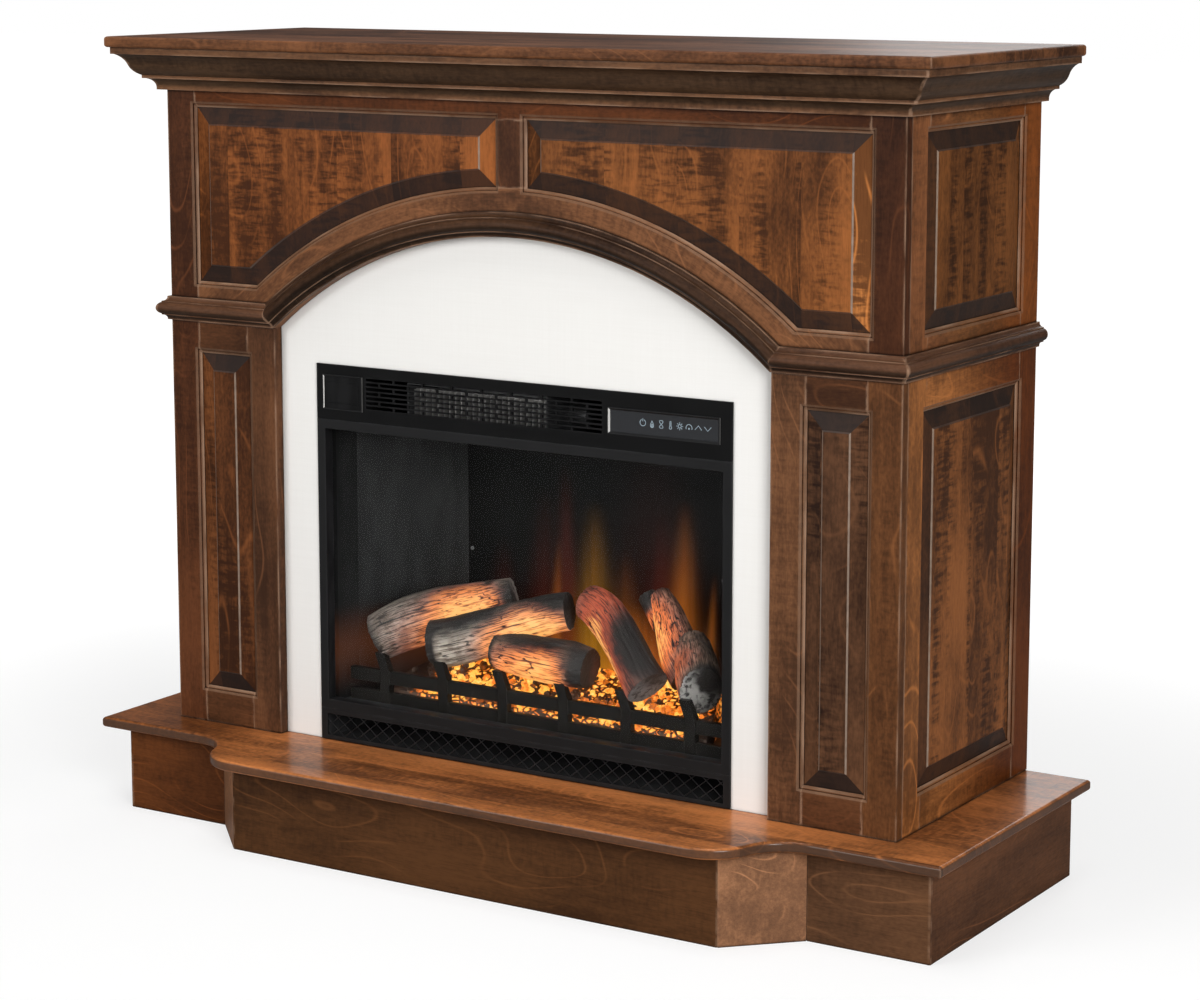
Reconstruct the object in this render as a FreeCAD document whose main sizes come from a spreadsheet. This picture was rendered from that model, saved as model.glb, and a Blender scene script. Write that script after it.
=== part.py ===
"""Free-standing electric fireplace: panelled wooden mantel on a bowed hearth, with a black insert.

The frame: X across the front, -Y towards the viewer, +Z up. The origin is on the floor, under the
middle of the whole piece. All sizes are millimetres and come from the sheet below.
"""
import FreeCAD, Part
import math
import os
from collections import namedtuple

import Sketcher

DIMENSIONS = {
    # Hearth: a slab with an ogee-bowed front on a mitred plinth
    "hearth_width": 1672,
    "hearth_depth": 684,
    "hearth_wing_depth": 570,
    "hearth_bow_half": 455,
    "hearth_ogee_run": 156,
    "slab_thickness": 19,
    "slab_edge_radius": 6,
    "slab_side_overhang": 33,
    "slab_wing_overhang": 37,
    "slab_bow_overhang": 48,
    "plinth_bow_half": 484,
    "plinth_height": 153,
    "board_thickness": 19,
    "glue_block": 40,
    # Mantel: face frame, side frames and shelf
    "mantel_height": 1393,
    "cabinet_width": 1440,
    "cabinet_depth": 490,
    "shelf_thickness": 19,
    "shelf_overhang": 76,
    "shelf_edge_radius": 5,
    "frame_thickness": 20,
    "stile_width": 61,
    "back_stile_width": 65,
    "mullion_width": 62,
    "mullion_height": 111,
    "pilaster_width": 229,
    "bottom_rail_width": 65,
    "belt_rail_width": 127,
    "top_rail_width": 103,
    "lower_opening_height": 602,
    "cleat_size": 25,
    "back_rail_width": 100,
    "wall_hole_spacing": 812.8,
    "wall_hole_diameter": 6,
    # Raised panels and the moulded edge of their frames
    "sticking_width": 9.5,
    "sticking_depth": 7.5,
    "outer_bead_depth": 2.5,
    "quirk_depth": 1.5,
    "quirk_inset": 3.5,
    "quirk_width": 2,
    "panel_setback": 8.5,
    "tongue_thickness": 6,
    "groove_depth": 9,
    "panel_gap": 1,
    "tongue_fit": 0.1,
    "bevel_width": 31,
    "field_setback": 1,
    "shoulder_width": 2.5,
    "shoulder_height": 2,
    # Arch and mouldings
    "arch_rail_width": 81,
    "belt_lift": 56,
    "belt_projection": 20.5,
    "belt_roll_height": 20.5,
    "belt_roll_bulge": 7.5,
    "belt_fillet_height": 2,
    "belt_cove_radius": 7,
    "belt_cove_quirk": 0.5,
    "belt_edge_height": 1.5,
    "crown_projection": 69,
    "crown_fillet_height": 11.5,
    "crown_quirk": 4,
    "crown_ogee_height": 37,
    "crown_ogee_run": 34,
    "crown_ogee_bulge": 2.7,
    "crown_bead_height": 5.5,
    "crown_bead_quirk": 2,
    "crown_cove_radius": 16,
    "crown_foot_height": 4,
    # White facing round the insert
    "facing_thickness": 12,
    "facing_lap": 25,
    "facing_gap": 2,
    # Insert: sheet casing and the trim on its front
    "insert_width": 826,
    "insert_height": 666,
    "trim_side_lap": 10,
    "trim_top_lap": 12,
    "sheet_thickness": 1.5,
    "trim_thickness": 4,
    "trim_foot": 1,
    "fascia_height": 96,
    "vent_blank_gap": 8,
    "vent_control_gap": 13,
    "vent_row_pitch": 8,
    "vent_slot_height": 5,
    "vent_slot_pitch": 60,
    "vent_bridge": 4,
    "vent_lift": 24,
    "blank_plate_width": 68,
    "blank_plate_height": 36,
    "blank_plate_thickness": 1,
    "blank_bezel_width": 81,
    "blank_bezel_height": 58,
    "blank_bezel_thickness": 1.2,
    "blank_from_side": 16,
    "control_from_side": 23,
    "control_width": 208,
    "control_height": 41,
    "control_recess": 0.5,
    "control_lift": 27,
    "board_margin": 6,
    "circuit_thickness": 1.6,
    "grille_height": 55,
    "grille_side_rim": 13,
    "grille_low_rim": 7,
    "grille_top_rim": 9.5,
    "lattice_pitch": 27.6,
    "lattice_bar": 2.4,
    "lattice_lean": 48,
    "lattice_thickness": 1.2,
    "glass_rim": 17,
    "glass_recess": 20,
    "glass_thickness": 4,
    "collar_thickness": 2,
    "glass_lap": 2,
    # Firebox
    "flange_setback": 2,
    "firebox_flange": 9.5,
    "firebox_return": 59,
    "firebox_throat": 532,
    "firebox_depth": 220,
    "firebox_floor_lift": 9.5,
    "firebox_ceiling_drop": 6,
    "rear_space": 74,
    "screen_thickness": 4,
    "screen_screw_radius": 3.2,
    "screen_screw_head": 1.6,
    "screen_screw_inset": 8,
    "ember_front_height": 24,
    "ember_back_height": 74,
    "ember_setback": 38,
    "ember_back_gap": 32,
    "ember_front_side_gap": 60,
    "ember_back_side_gap": 15,
    # Grate
    "grate_setback": 21,
    "grate_bar_depth": 10,
    "grate_upright_depth": 14,
    "grate_upright_width": 20,
    "grate_upright_inset": 76,
    "grate_upright_height": 90,
    "grate_lean": 12,
    "grate_side_gap": 7,
    "grate_low_bar": 20.5,
    "grate_high_bar": 23,
    "grate_high_bar_lift": 35.5,
    # Logs
    "back_left_log_length": 251,
    "back_left_log_radius": 46,
    "front_left_log_length": 260,
    "front_left_log_radius": 42,
    "center_log_length": 183,
    "center_log_radius": 36,
    "leaning_log_length": 193,
    "leaning_log_radius": 33,
    "back_right_log_length": 167,
    "back_right_log_radius": 33,
    "front_right_log_length": 106,
    "front_right_log_radius": 45,
    # Flame effect behind the screen
    "spindle_radius": 4,
    "spindle_span": 450,
    "spindle_lift": 47.5,
    "spindle_overhang": 8,
    "fin_radius": 26,
    "fin_thickness": 1,
    "fin_margin": 8,
    "bracket_width": 40,
    "bracket_head": 24,
    "bracket_thickness": 2,
    "running_clearance": 0.05,
    "flicker_motor_radius": 18,
    "flicker_motor_length": 25,
    "shaft_grip": 14,
    "end_play": 1,
    "lamp_width": 440,
    "lamp_depth": 10,
    "lamp_height": 12,
    # Blower and heater behind the vents
    "blower_from_vent": 85,
    "blower_width": 283,
    "blower_depth": 123,
    "blower_headroom": 7,
    "blower_inlet_height": 35,
    "blower_inlet_margin": 22,
    "wheel_back_gap": 14.5,
    "wheel_radius": 24,
    "wheel_margin": 7,
    "wheel_disc": 2,
    "blade_depth": 9,
    "blade_thickness": 1,
    "blower_shaft_radius": 3,
    "blower_shaft_stub": 3,
    "blower_motor_radius": 20,
    "blower_motor_length": 35,
    "heater_setback": 10,
    "heater_bar_depth": 4,
    "heater_bar_height": 6,
    "heater_fin_depth": 14,
    "heater_fin_pitch": 12,
    "heater_fin_thickness": 1,
    "heater_gap": 11,
    # Where the supply cord enters
    "gland_radius": 10,
    "gland_bore_radius": 4.5,
    "gland_length": 14,
    "gland_from_side": 70,
    "gland_lift": 118,
}
VENT_ROWS = 7
UPRIGHT_COUNT = 6
BLADE_COUNT = 16
FIN_COUNT = 4
# Degrees turned for the arch's moulding, more than any arch, before its ends are cut to their mitres
ARCH_SWEEP = 170
SIDES = (("left", -1), ("right", 1))
UP = FreeCAD.Vector(0, 0, 1)

doc = FreeCAD.newDocument("fireplace")
sheet = doc.addObject("Spreadsheet::Sheet", "Dims")
for row, (alias, number) in enumerate(DIMENSIONS.items(), start=1):
    sheet.set(f"A{row}", alias)
    sheet.set(f"B{row}", str(number))
    sheet.setAlias(f"B{row}", alias)
doc.recompute()


class Size:
    """A length: its number, and the expression over the sheet that gives it."""

    def __init__(self, value, text):
        self.value = value
        self.text = text

    def __add__(self, other):
        other = as_size(other)
        return Size(self.value + other.value, f"({self.text} + {other.text})")

    def __sub__(self, other):
        other = as_size(other)
        return Size(self.value - other.value, f"({self.text} - {other.text})")

    def __mul__(self, other):
        other = as_size(other)
        return Size(self.value * other.value, f"({self.text} * {other.text})")

    def __truediv__(self, other):
        other = as_size(other)
        return Size(self.value / other.value, f"({self.text} / {other.text})")

    def __neg__(self):
        return Size(-self.value, f"(-1 * {self.text})")

    def __rmul__(self, other):
        return as_size(other) * self


def as_size(number):
    """A plain number as a Size; a Size stays itself."""
    if isinstance(number, Size):
        return number
    return Size(number, f"({number})")


def root(size):
    """Square root of a Size."""
    return Size(math.sqrt(size.value), f"sqrt({size.text})")


def dim(alias):
    """The Size that a cell of the sheet holds."""
    return Size(float(sheet.get(alias)), f"Dims.{alias}")


ZERO = as_size(0)
Arc = namedtuple("Arc", "x y radius sense")
nodes = []


def bind(obj, prop, size):
    """Drive one property of an object from the sheet."""
    obj.setExpression(prop, as_size(size).text)


def put(obj, corner, turn=0):
    """Stand an object at a corner, the whole turned about Z by 0, 90 or -90 degrees."""
    x, y, z = (as_size(value) for value in corner)
    spots = {0: (x, y, z), 90: (-y, x, z), -90: (y, -x, z)}
    obj.Placement = FreeCAD.Placement(FreeCAD.Vector(), FreeCAD.Rotation(UP, turn))
    for axis, spot in zip("xyz", spots[turn]):
        bind(obj, f"Placement.Base.{axis}", spot)


def board(name, x, y, z, turn=0):
    """Square-edged board that fills three spans."""
    obj = doc.addObject("Part::Box", name)
    for prop, span in zip(("Length", "Width", "Height"), (x, y, z)):
        bind(obj, prop, span[1] - span[0])
    put(obj, (x[0], y[0], z[0]), turn)
    return obj


def frustum(name, near, far, y, turn=0):
    """Block tapered along Y, from the (x, z) spans near at y[0] to the spans far at y[1]."""
    obj = doc.addObject("Part::Wedge", name)
    spans = {"X": near[0], "Z": near[1], "X2": far[0], "Z2": far[1], "Y": y}
    for letter, span in spans.items():
        bind(obj, letter + "min", span[0])
        bind(obj, letter + "max", span[1])
    put(obj, (0, 0, 0), turn)
    return obj


def rod(name, radius, x, y, z, axis="X"):
    """Cylinder along X or Y: one of x and y is the span, the others place its centre line."""
    obj = doc.addObject("Part::Cylinder", name)
    span = x if axis == "X" else y
    bind(obj, "Radius", radius)
    bind(obj, "Height", span[1] - span[0])
    put(obj, (x[0] if axis == "X" else x, y[0] if axis == "Y" else y, z))
    pole = FreeCAD.Vector(1, 0, 0) if axis == "X" else FreeCAD.Vector(0, 1, 0)
    obj.Placement = FreeCAD.Placement(FreeCAD.Vector(), FreeCAD.Rotation(UP, pole))
    return obj


def combine(kind, name, shapes):
    """Compound, MultiFuse or MultiCommon of several objects."""
    obj = doc.addObject("Part::" + kind, name)
    if kind == "Compound":
        obj.Links = shapes
    else:
        obj.Shapes = shapes
    return obj


def cut(name, base, tools):
    """A base with several tools taken away."""
    obj = doc.addObject("Part::Cut", name)
    obj.Base = base
    obj.Tool = tools[0] if len(tools) == 1 else combine("Compound", name + "_tools", tools)
    return obj


def node(obj):
    """Mark a finished sub-part: its label names its file."""
    obj.Label = obj.Name
    nodes.append(obj)
    return obj


def sketch(body, name, plane, offset, path, rise=ZERO):
    """Closed outline in an origin plane of a body, every corner bound to the sheet.

    path lists corners (x, y), each followed by a straight line to the next corner, or
    (x, y, Arc) corners followed by an arc about the Arc's centre, sense 1 counter-clockwise.
    """
    shape = body.newObject("Sketcher::SketchObject", name)
    support = [item for item in body.Origin.OriginFeatures if item.Role == plane + "_Plane"]
    shape.AttachmentSupport = [(support[0], "")]
    shape.MapMode = "FlatFace"
    bind(shape, "AttachmentOffset.Base.z", offset)
    bind(shape, "AttachmentOffset.Base.y", rise)
    corners = [(as_size(corner[0]), as_size(corner[1])) for corner in path]
    points = [FreeCAD.Vector(x.value, y.value, 0) for x, y in corners]
    starts = []
    for index, corner in enumerate(path):
        here, there = points[index], points[(index + 1) % len(path)]
        if len(corner) == 2:
            shape.addGeometry(Part.LineSegment(here, there), False)
            starts.append(1)
            continue
        arc = corner[2]
        centre = FreeCAD.Vector(as_size(arc.x).value, as_size(arc.y).value, 0)
        first, last = (here, there) if arc.sense > 0 else (there, here)
        angles = [math.atan2(point.y - centre.y, point.x - centre.x) for point in (first, last)]
        if angles[1] <= angles[0]:
            angles[1] += 2 * math.pi
        circle = Part.Circle(centre, UP, arc.radius.value)
        shape.addGeometry(Part.ArcOfCircle(circle, *angles), False)
        starts.append(1 if arc.sense > 0 else 2)
    for index in range(len(path)):
        following = (index + 1) % len(path)
        joint = (index, 3 - starts[index], following, starts[following])
        shape.addConstraint(Sketcher.Constraint("Coincident", *joint))
    for index, corner in enumerate(path):
        for kind, value in zip(("DistanceX", "DistanceY"), corners[index]):
            link = Sketcher.Constraint(kind, -1, 1, index, starts[index], value.value)
            bind(shape, f"Constraints[{shape.addConstraint(link)}]", value)
        if len(corner) == 3:
            link = Sketcher.Constraint("Radius", index, corner[2].radius.value)
            bind(shape, f"Constraints[{shape.addConstraint(link)}]", corner[2].radius)
    return shape


def prism(name, plane, path, span):
    """Body padded from an outline in the XY, XZ or YZ plane, over a span of the third axis."""
    body = doc.addObject("PartDesign::Body", name)
    start = -span[1] if plane == "XZ" else span[0]
    pad = body.newObject("PartDesign::Pad", name + "_pad")
    pad.Profile = sketch(body, name + "_outline", plane, start, path)
    bind(pad, "Length", span[1] - span[0])
    return body


def ease(body, radius):
    """Round the upper and lower edges of a padded body."""
    doc.recompute()
    pad = body.Tip
    flats = [f"Face{index}" for index, face in enumerate(pad.Shape.Faces, start=1)
             if abs(face.normalAt(0, 0).z) > 0.99]
    fillet = body.newObject("PartDesign::Fillet", body.Name + "_eased")
    fillet.Base = (pad, flats)
    bind(fillet, "Radius", radius)
    return body


def grow(span, amount):
    """A span made longer at both ends."""
    return span[0] - amount, span[1] + amount


def around(middle, length):
    """The span of a length centred on a middle."""
    middle = as_size(middle)
    return middle - length / 2, middle + length / 2


def along(start, length):
    """The span of a length from its start."""
    return start, start + length


def mirrored(sign, near, far):
    """A span on the positive side, or its mirror image on the negative side."""
    return (near, far) if sign > 0 else (-far, -near)


# Levels and planes that the pieces share
half = dim("cabinet_width") / 2
back = dim("hearth_depth") / 2
front = back - dim("cabinet_depth")
plinth_half = dim("hearth_width") / 2 - dim("slab_side_overhang")
plinth_wing = back - dim("hearth_wing_depth") + dim("slab_wing_overhang")
base = dim("plinth_height") + dim("slab_thickness")
shelf_under = dim("mantel_height") - dim("shelf_thickness")
frame_back = front + dim("frame_thickness")
face_y = (front, frame_back)
stile_edge = half - dim("stile_width")
arch_half = half - dim("pilaster_width")
lower_z = along(base + dim("bottom_rail_width"), dim("lower_opening_height"))
upper_z = (lower_z[1] + dim("belt_rail_width"), shelf_under - dim("top_rail_width"))
belt_roll_low = dim("belt_edge_height") + dim("belt_cove_radius") + dim("belt_fillet_height")
belt_height = 2 * belt_roll_low + dim("belt_roll_height")
belt_low = lower_z[1] + dim("belt_lift")
belt_high = belt_low + belt_height
arch_top = upper_z[1] - dim("mullion_height") - dim("arch_rail_width")
arch_rise = arch_top - belt_low
arch_radius = (arch_half * arch_half + arch_rise * arch_rise) / (2 * arch_rise)
arch_z = arch_top - arch_radius
rail_radius = arch_radius + dim("arch_rail_width")


# Hearth
def hearth_slab():
    """Slab whose front bows forward through an ogee, two equal arcs, at each side."""
    wide = dim("hearth_width") / 2
    wing = back - dim("hearth_wing_depth")
    bow = -back
    inner = dim("hearth_bow_half")
    run = dim("hearth_ogee_run")
    drop = wing - bow
    radius = (run * run + drop * drop) / (4 * drop)
    outer = inner + run
    middle = (inner + run / 2, wing - drop / 2)
    path = [
        (-wide, wing),
        (-outer, wing, Arc(-outer, wing - radius, radius, -1)),
        (-middle[0], middle[1], Arc(-inner, bow + radius, radius, 1)),
        (-inner, bow),
        (inner, bow, Arc(inner, bow + radius, radius, 1)),
        (middle[0], middle[1], Arc(outer, wing - radius, radius, -1)),
        (outer, wing),
        (wide, wing),
        (wide, back),
        (-wide, back),
    ]
    slab = prism("hearth_slab", "XY", path, along(dim("plinth_height"), dim("slab_thickness")))
    node(ease(slab, dim("slab_edge_radius")))


def plinth():
    """Mitred boards under the slab: sides, wings, 45-degree angles and the bowed centre."""
    wide = plinth_half
    wing = plinth_wing
    bow = dim("slab_bow_overhang") - back
    inner = dim("plinth_bow_half")
    outer = inner + wing - bow
    thick = dim("board_thickness")
    mitre = thick * (math.sqrt(2) - 1)
    face = [(wide, back), (wide, wing), (outer, wing), (inner, bow)]
    rear = [(wide - thick, back), (wide - thick, wing + thick),
            (outer - mitre, wing + thick), (inner - mitre, bow + thick)]
    tall = (ZERO, dim("plinth_height"))
    for index, group in enumerate(("plinth_sides", "plinth_wings", "plinth_angles")):
        quad = [face[index], face[index + 1], rear[index + 1], rear[index]]
        pair = []
        for side, sign in SIDES:
            path = [(sign * x, y) for x, y in quad]
            pair.append(prism(f"{group}_{side}", "XY", path, tall))
        node(combine("Compound", group, pair))
    quad = [face[3], (-inner, bow), (-(inner - mitre), bow + thick), rear[3]]
    node(prism("plinth_center", "XY", quad, tall))


def hidden_joinery():
    """Back rails, with the two wall-screw holes, and the glue blocks in the corners."""
    thick = dim("board_thickness")
    plinth_inner = plinth_half - thick
    cabinet_inner = half - dim("frame_thickness")
    rear = (back - thick, back)
    wide = (-cabinet_inner, cabinet_inner)
    top_span = (shelf_under - dim("back_rail_width"), shelf_under)
    top = board("back_rail_top_blank", wide, rear, top_span)
    hole_z = shelf_under - dim("back_rail_width") / 2
    holes = [rod(f"wall_hole_{side}", dim("wall_hole_diameter") / 2,
                 sign * dim("wall_hole_spacing") / 2, rear, hole_z, "Y")
             for side, sign in SIDES]
    rails = [
        cut("back_rail_top", top, holes),
        board("back_rail_low", wide, rear, along(base, dim("back_rail_width"))),
        board("back_rail_plinth", (-plinth_inner, plinth_inner), rear, (ZERO, dim("plinth_height"))),
    ]
    node(combine("Compound", "back_rails", rails))

    block = dim("glue_block")
    cleat = dim("cleat_size")
    wing = plinth_wing + thick
    blocks = []
    tall = (ZERO, dim("plinth_height"))
    for side, sign in SIDES:
        corner_x = mirrored(sign, plinth_inner - block, plinth_inner)
        cleat_x = mirrored(sign, cabinet_inner - cleat, cabinet_inner)
        blocks.append(board(f"block_front_{side}", corner_x, along(wing, block), tall))
        blocks.append(board(f"block_back_{side}", corner_x, (rear[0] - block, rear[0]), tall))
        blocks.append(board(f"cleat_{side}", cleat_x, along(frame_back, cleat), (base, shelf_under)))
    node(combine("Compound", "glue_blocks", blocks))


# Frames and raised panels
def sticking_steps(face):
    """Moulded inner edge of a frame, as (growth, depth) pairs: outer bead, quirk and inner bead."""
    outer = dim("sticking_width")
    quirk = outer - dim("quirk_inset")
    inner = quirk - dim("quirk_width")
    top = face + dim("outer_bead_depth")
    low = top + dim("quirk_depth")
    return [
        ((outer, face), (quirk, top)),
        ((quirk, top), (quirk, low)),
        ((inner, low), (ZERO, face + dim("sticking_depth"))),
    ]


def stepped_frustums(name, x, z, steps, turn):
    """Tapered blocks one behind the other, each between two growths of an opening."""
    return [frustum(f"{name}_{index}", (grow(x, near[0]), grow(z, near[0])),
                    (grow(x, far[0]), grow(z, far[0])), (near[1], far[1]), turn)
            for index, (near, far) in enumerate(steps)]


def rectangular_cutters(name, x, z, face, turn=0):
    """What an opening takes from its frame: the panel groove and the moulded inner edge."""
    groove = dim("groove_depth")
    depth = along(face + dim("panel_setback"), dim("tongue_thickness"))
    steps = stepped_frustums(name + "_step", x, z, sticking_steps(face), turn)
    return [
        board(name + "_groove", grow(x, groove), depth, grow(z, groove), turn),
        combine("MultiFuse", name + "_sticking", steps),
    ]


def tongue_span(face):
    """Depth that a panel's tongue takes in its groove."""
    low = face + dim("panel_setback") + dim("tongue_fit")
    return low, low + dim("tongue_thickness") - 2 * dim("tongue_fit")


def panel_steps(face):
    """Raised part of a panel, as (growth, depth) pairs: the field's shoulder and the bevel."""
    field = face + dim("field_setback")
    shoulder = field + dim("shoulder_height")
    foot = dim("shoulder_width") - dim("bevel_width")
    return [
        ((-dim("bevel_width"), field), (foot, shoulder)),
        ((foot, shoulder), (-dim("tongue_fit"), tongue_span(face)[0])),
    ]


def rectangular_panel(name, x, z, face, turn=0):
    """Raised panel: a tongue all round, a bevel, and a shoulder up to the flat field."""
    reach = dim("groove_depth") - dim("panel_gap")
    tongue = board(name + "_tongue", grow(x, reach), tongue_span(face), grow(z, reach), turn)
    raised = stepped_frustums(name + "_raised", x, z, panel_steps(face), turn)
    node(combine("MultiFuse", name, [tongue] + raised))


def frieze_outline(sign, amount):
    """Outline of an arched opening, grown by an amount. Its lower inner edge is the arch."""
    amount = as_size(amount)
    radius = rail_radius - amount
    low = upper_z[0] - amount
    high = upper_z[1] + amount
    outer = stile_edge + amount
    inner = dim("mullion_width") / 2 - amount
    rise = low - arch_z
    toe = root(radius * radius - rise * rise)
    crest = arch_z + root(radius * radius - inner * inner)
    return [
        (sign * outer, low),
        (sign * toe, low, Arc(ZERO, arch_z, radius, sign)),
        (sign * inner, crest),
        (sign * inner, high),
        (sign * outer, high),
    ]


def loft(body, name, sign, near, far):
    """Ruled body between two sizes of the arched outline, each given as (amount, depth)."""
    sections = [sketch(body, f"{name}_{label}", "XZ", -depth, frieze_outline(sign, amount))
                for label, (amount, depth) in (("near", near), ("far", far))]
    feature = body.newObject("PartDesign::AdditiveLoft", name)
    feature.Profile = sections[0]
    feature.Sections = [sections[1]]
    feature.Ruled = True


def frieze_cutters(name, sign):
    """Groove and moulded edge of one arched opening."""
    depth = along(front + dim("panel_setback"), dim("tongue_thickness"))
    groove = prism(name + "_groove", "XZ", frieze_outline(sign, dim("groove_depth")), depth)
    edge = doc.addObject("PartDesign::Body", name + "_sticking")
    for index, (near, far) in enumerate(sticking_steps(front)):
        loft(edge, f"{name}_step_{index}", sign, near, far)
    return [groove, edge]


def frieze_panel(name, sign):
    """Arched raised panel."""
    reach = dim("groove_depth") - dim("panel_gap")
    body = prism(name, "XZ", frieze_outline(sign, reach), tongue_span(front))
    for index, (near, far) in enumerate(reversed(panel_steps(front))):
        loft(body, f"{name}_raised_{index}", sign, far, near)
    node(body)


def front_frame():
    """Stiles, rails, mullion and arch rail of the front, with their four raised panels."""
    cutters = {}
    openings = {}
    for side, sign in SIDES:
        openings[side] = mirrored(sign, arch_half + dim("stile_width"), stile_edge)
        cutters[side] = rectangular_cutters(f"pilaster_{side}", openings[side], lower_z, front)
        cutters[side + "_frieze"] = frieze_cutters(f"frieze_{side}", sign)
    outer, inner, rails = [], [], []
    for side, sign in SIDES:
        outer_x = mirrored(sign, stile_edge, half)
        blank = board(f"outer_stile_{side}_blank", outer_x, face_y, (base, shelf_under))
        outer.append(cut(f"outer_stile_{side}", blank, cutters[side] + cutters[side + "_frieze"]))
        inner_x = mirrored(sign, arch_half, arch_half + dim("stile_width"))
        blank = board(f"inner_stile_{side}_blank", inner_x, face_y, (base, belt_low))
        inner.append(cut(f"inner_stile_{side}", blank, cutters[side]))
        for place, z in (("low", (base, lower_z[0])), ("high", (lower_z[1], belt_low))):
            blank = board(f"rail_{place}_{side}_blank", openings[side], face_y, z)
            rails.append(cut(f"rail_{place}_{side}", blank, cutters[side]))
    node(combine("Compound", "front_stiles", outer))
    node(combine("Compound", "pilaster_stiles", inner))
    node(combine("Compound", "pilaster_rails", rails))

    both = cutters["left_frieze"] + cutters["right_frieze"]
    blank = board("top_rail_blank", (-stile_edge, stile_edge), face_y, (upper_z[1], shelf_under))
    node(cut("top_rail", blank, both))
    slim = dim("mullion_width") / 2
    foot = arch_z + root(rail_radius * rail_radius - slim * slim)
    path = [(slim, upper_z[1]), (-slim, upper_z[1]),
            (-slim, foot, Arc(ZERO, arch_z, rail_radius, -1)), (slim, foot)]
    node(cut("center_mullion", prism("center_mullion_blank", "XZ", path, face_y), both))
    rise = upper_z[0] - arch_z
    toe = root(rail_radius * rail_radius - rise * rise)
    path = [
        (-stile_edge, belt_low),
        (-arch_half, belt_low, Arc(ZERO, arch_z, arch_radius, -1)),
        (arch_half, belt_low),
        (stile_edge, belt_low),
        (stile_edge, upper_z[0]),
        (toe, upper_z[0], Arc(ZERO, arch_z, rail_radius, 1)),
        (-toe, upper_z[0]),
        (-stile_edge, upper_z[0]),
    ]
    node(cut("arch_rail", prism("arch_rail_blank", "XZ", path, face_y), both))

    for side, sign in SIDES:
        rectangular_panel(f"pilaster_panel_{side}", openings[side], lower_z, front)
        frieze_panel(f"frieze_panel_{side}", sign)


def side_frames():
    """Each side: two stiles and three rails round an upper and a lower raised panel."""
    face = -half
    depth = along(face, dim("frame_thickness"))
    near = frame_back + dim("stile_width")
    far = back - dim("back_stile_width")
    tall = (base, shelf_under)
    for side, sign in SIDES:
        turn = 90 * sign
        opening = mirrored(sign, near, far)
        lower = rectangular_cutters(f"side_{side}_lower", opening, lower_z, face, turn)
        upper = rectangular_cutters(f"side_{side}_upper", opening, upper_z, face, turn)
        blanks = [
            ("front_stile", mirrored(sign, frame_back, near), tall),
            ("back_stile", mirrored(sign, far, back), tall),
            ("bottom_rail", opening, (base, lower_z[0])),
            ("belt_rail", opening, (lower_z[1], upper_z[0])),
            ("top_rail", opening, (upper_z[1], shelf_under)),
        ]
        pieces = []
        for place, x, z in blanks:
            blank = board(f"side_{side}_{place}_blank", x, depth, z, turn)
            pieces.append(cut(f"side_{side}_{place}", blank, lower + upper))
        node(combine("Compound", f"side_frame_{side}", pieces))
        rectangular_panel(f"side_panel_upper_{side}", opening, upper_z, face, turn)
        rectangular_panel(f"side_panel_lower_{side}", opening, lower_z, face, turn)


# Mouldings and shelf
def crown_profile(face, sense):
    """Crown section outwards from a face: fillet, ogee of two equal arcs, bead, cove and foot."""
    top = shelf_under
    lip = dim("crown_projection")
    run = dim("crown_ogee_run")
    drop = dim("crown_ogee_height")
    bulge = dim("crown_ogee_bulge")
    chord = root(run * run + drop * drop)
    turn = (chord * chord / 16 + bulge * bulge) / (2 * bulge)
    rise_out = (turn - bulge) * drop / chord
    rise_down = (turn - bulge) * run / chord
    ogee_out = lip - dim("crown_quirk")
    ogee_top = top - dim("crown_fillet_height")
    ogee_in = ogee_out - run
    ogee_low = ogee_top - drop
    cove = dim("crown_cove_radius")
    cove_out = ogee_in - dim("crown_bead_quirk")
    cove_top = ogee_low - dim("crown_bead_height")
    cove_low = cove_top - cove
    foot = cove_low - dim("crown_foot_height")

    def out(amount):
        return face + sense * amount
    hollow = Arc(out(ogee_out - run / 4 + rise_out), ogee_top - drop / 4 - rise_down, turn, sense)
    swell = Arc(out(ogee_in + run / 4 - rise_out), ogee_low + drop / 4 + rise_down, turn, -sense)
    return [
        (out(ZERO), top),
        (out(lip), top),
        (out(lip), ogee_top),
        (out(ogee_out), ogee_top, hollow),
        (out(ogee_out - run / 2), ogee_top - drop / 2, swell),
        (out(ogee_in), ogee_low),
        (out(ogee_in), cove_top),
        (out(cove_out), cove_top, Arc(out(cove_out), cove_low, cove, sense)),
        (out(cove_out - cove), cove_low),
        (out(cove_out - cove), foot),
        (out(ZERO), foot),
    ]


def belt_profile(face, low, sense):
    """Belt section outwards from a face: a roll between two fillets, with a cove above and below."""
    lip = dim("belt_projection")
    bulge = dim("belt_roll_bulge")
    cove = dim("belt_cove_radius")
    edge = dim("belt_edge_height")
    reach = dim("belt_roll_height") / 2
    turn = (reach * reach + bulge * bulge) / (2 * bulge)
    fillet = lip - bulge
    cove_out = fillet - dim("belt_cove_quirk")
    roll_low = low + belt_roll_low
    middle = roll_low + reach
    roll_high = middle + reach
    high = low + belt_height

    def out(amount):
        return face + sense * amount
    roll = Arc(out(lip - turn), middle, turn, sense)
    return [
        (out(ZERO), low),
        (out(cove_out - cove), low),
        (out(cove_out - cove), low + edge, Arc(out(cove_out), low + edge, cove, -sense)),
        (out(cove_out), low + edge + cove),
        (out(fillet), low + edge + cove),
        (out(fillet), roll_low, roll),
        (out(lip), middle, roll),
        (out(fillet), roll_high),
        (out(fillet), high - edge - cove),
        (out(cove_out), high - edge - cove, Arc(out(cove_out), high - edge, cove, -sense)),
        (out(cove_out - cove), high - edge),
        (out(cove_out - cove), high),
        (out(ZERO), high),
    ]


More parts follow.
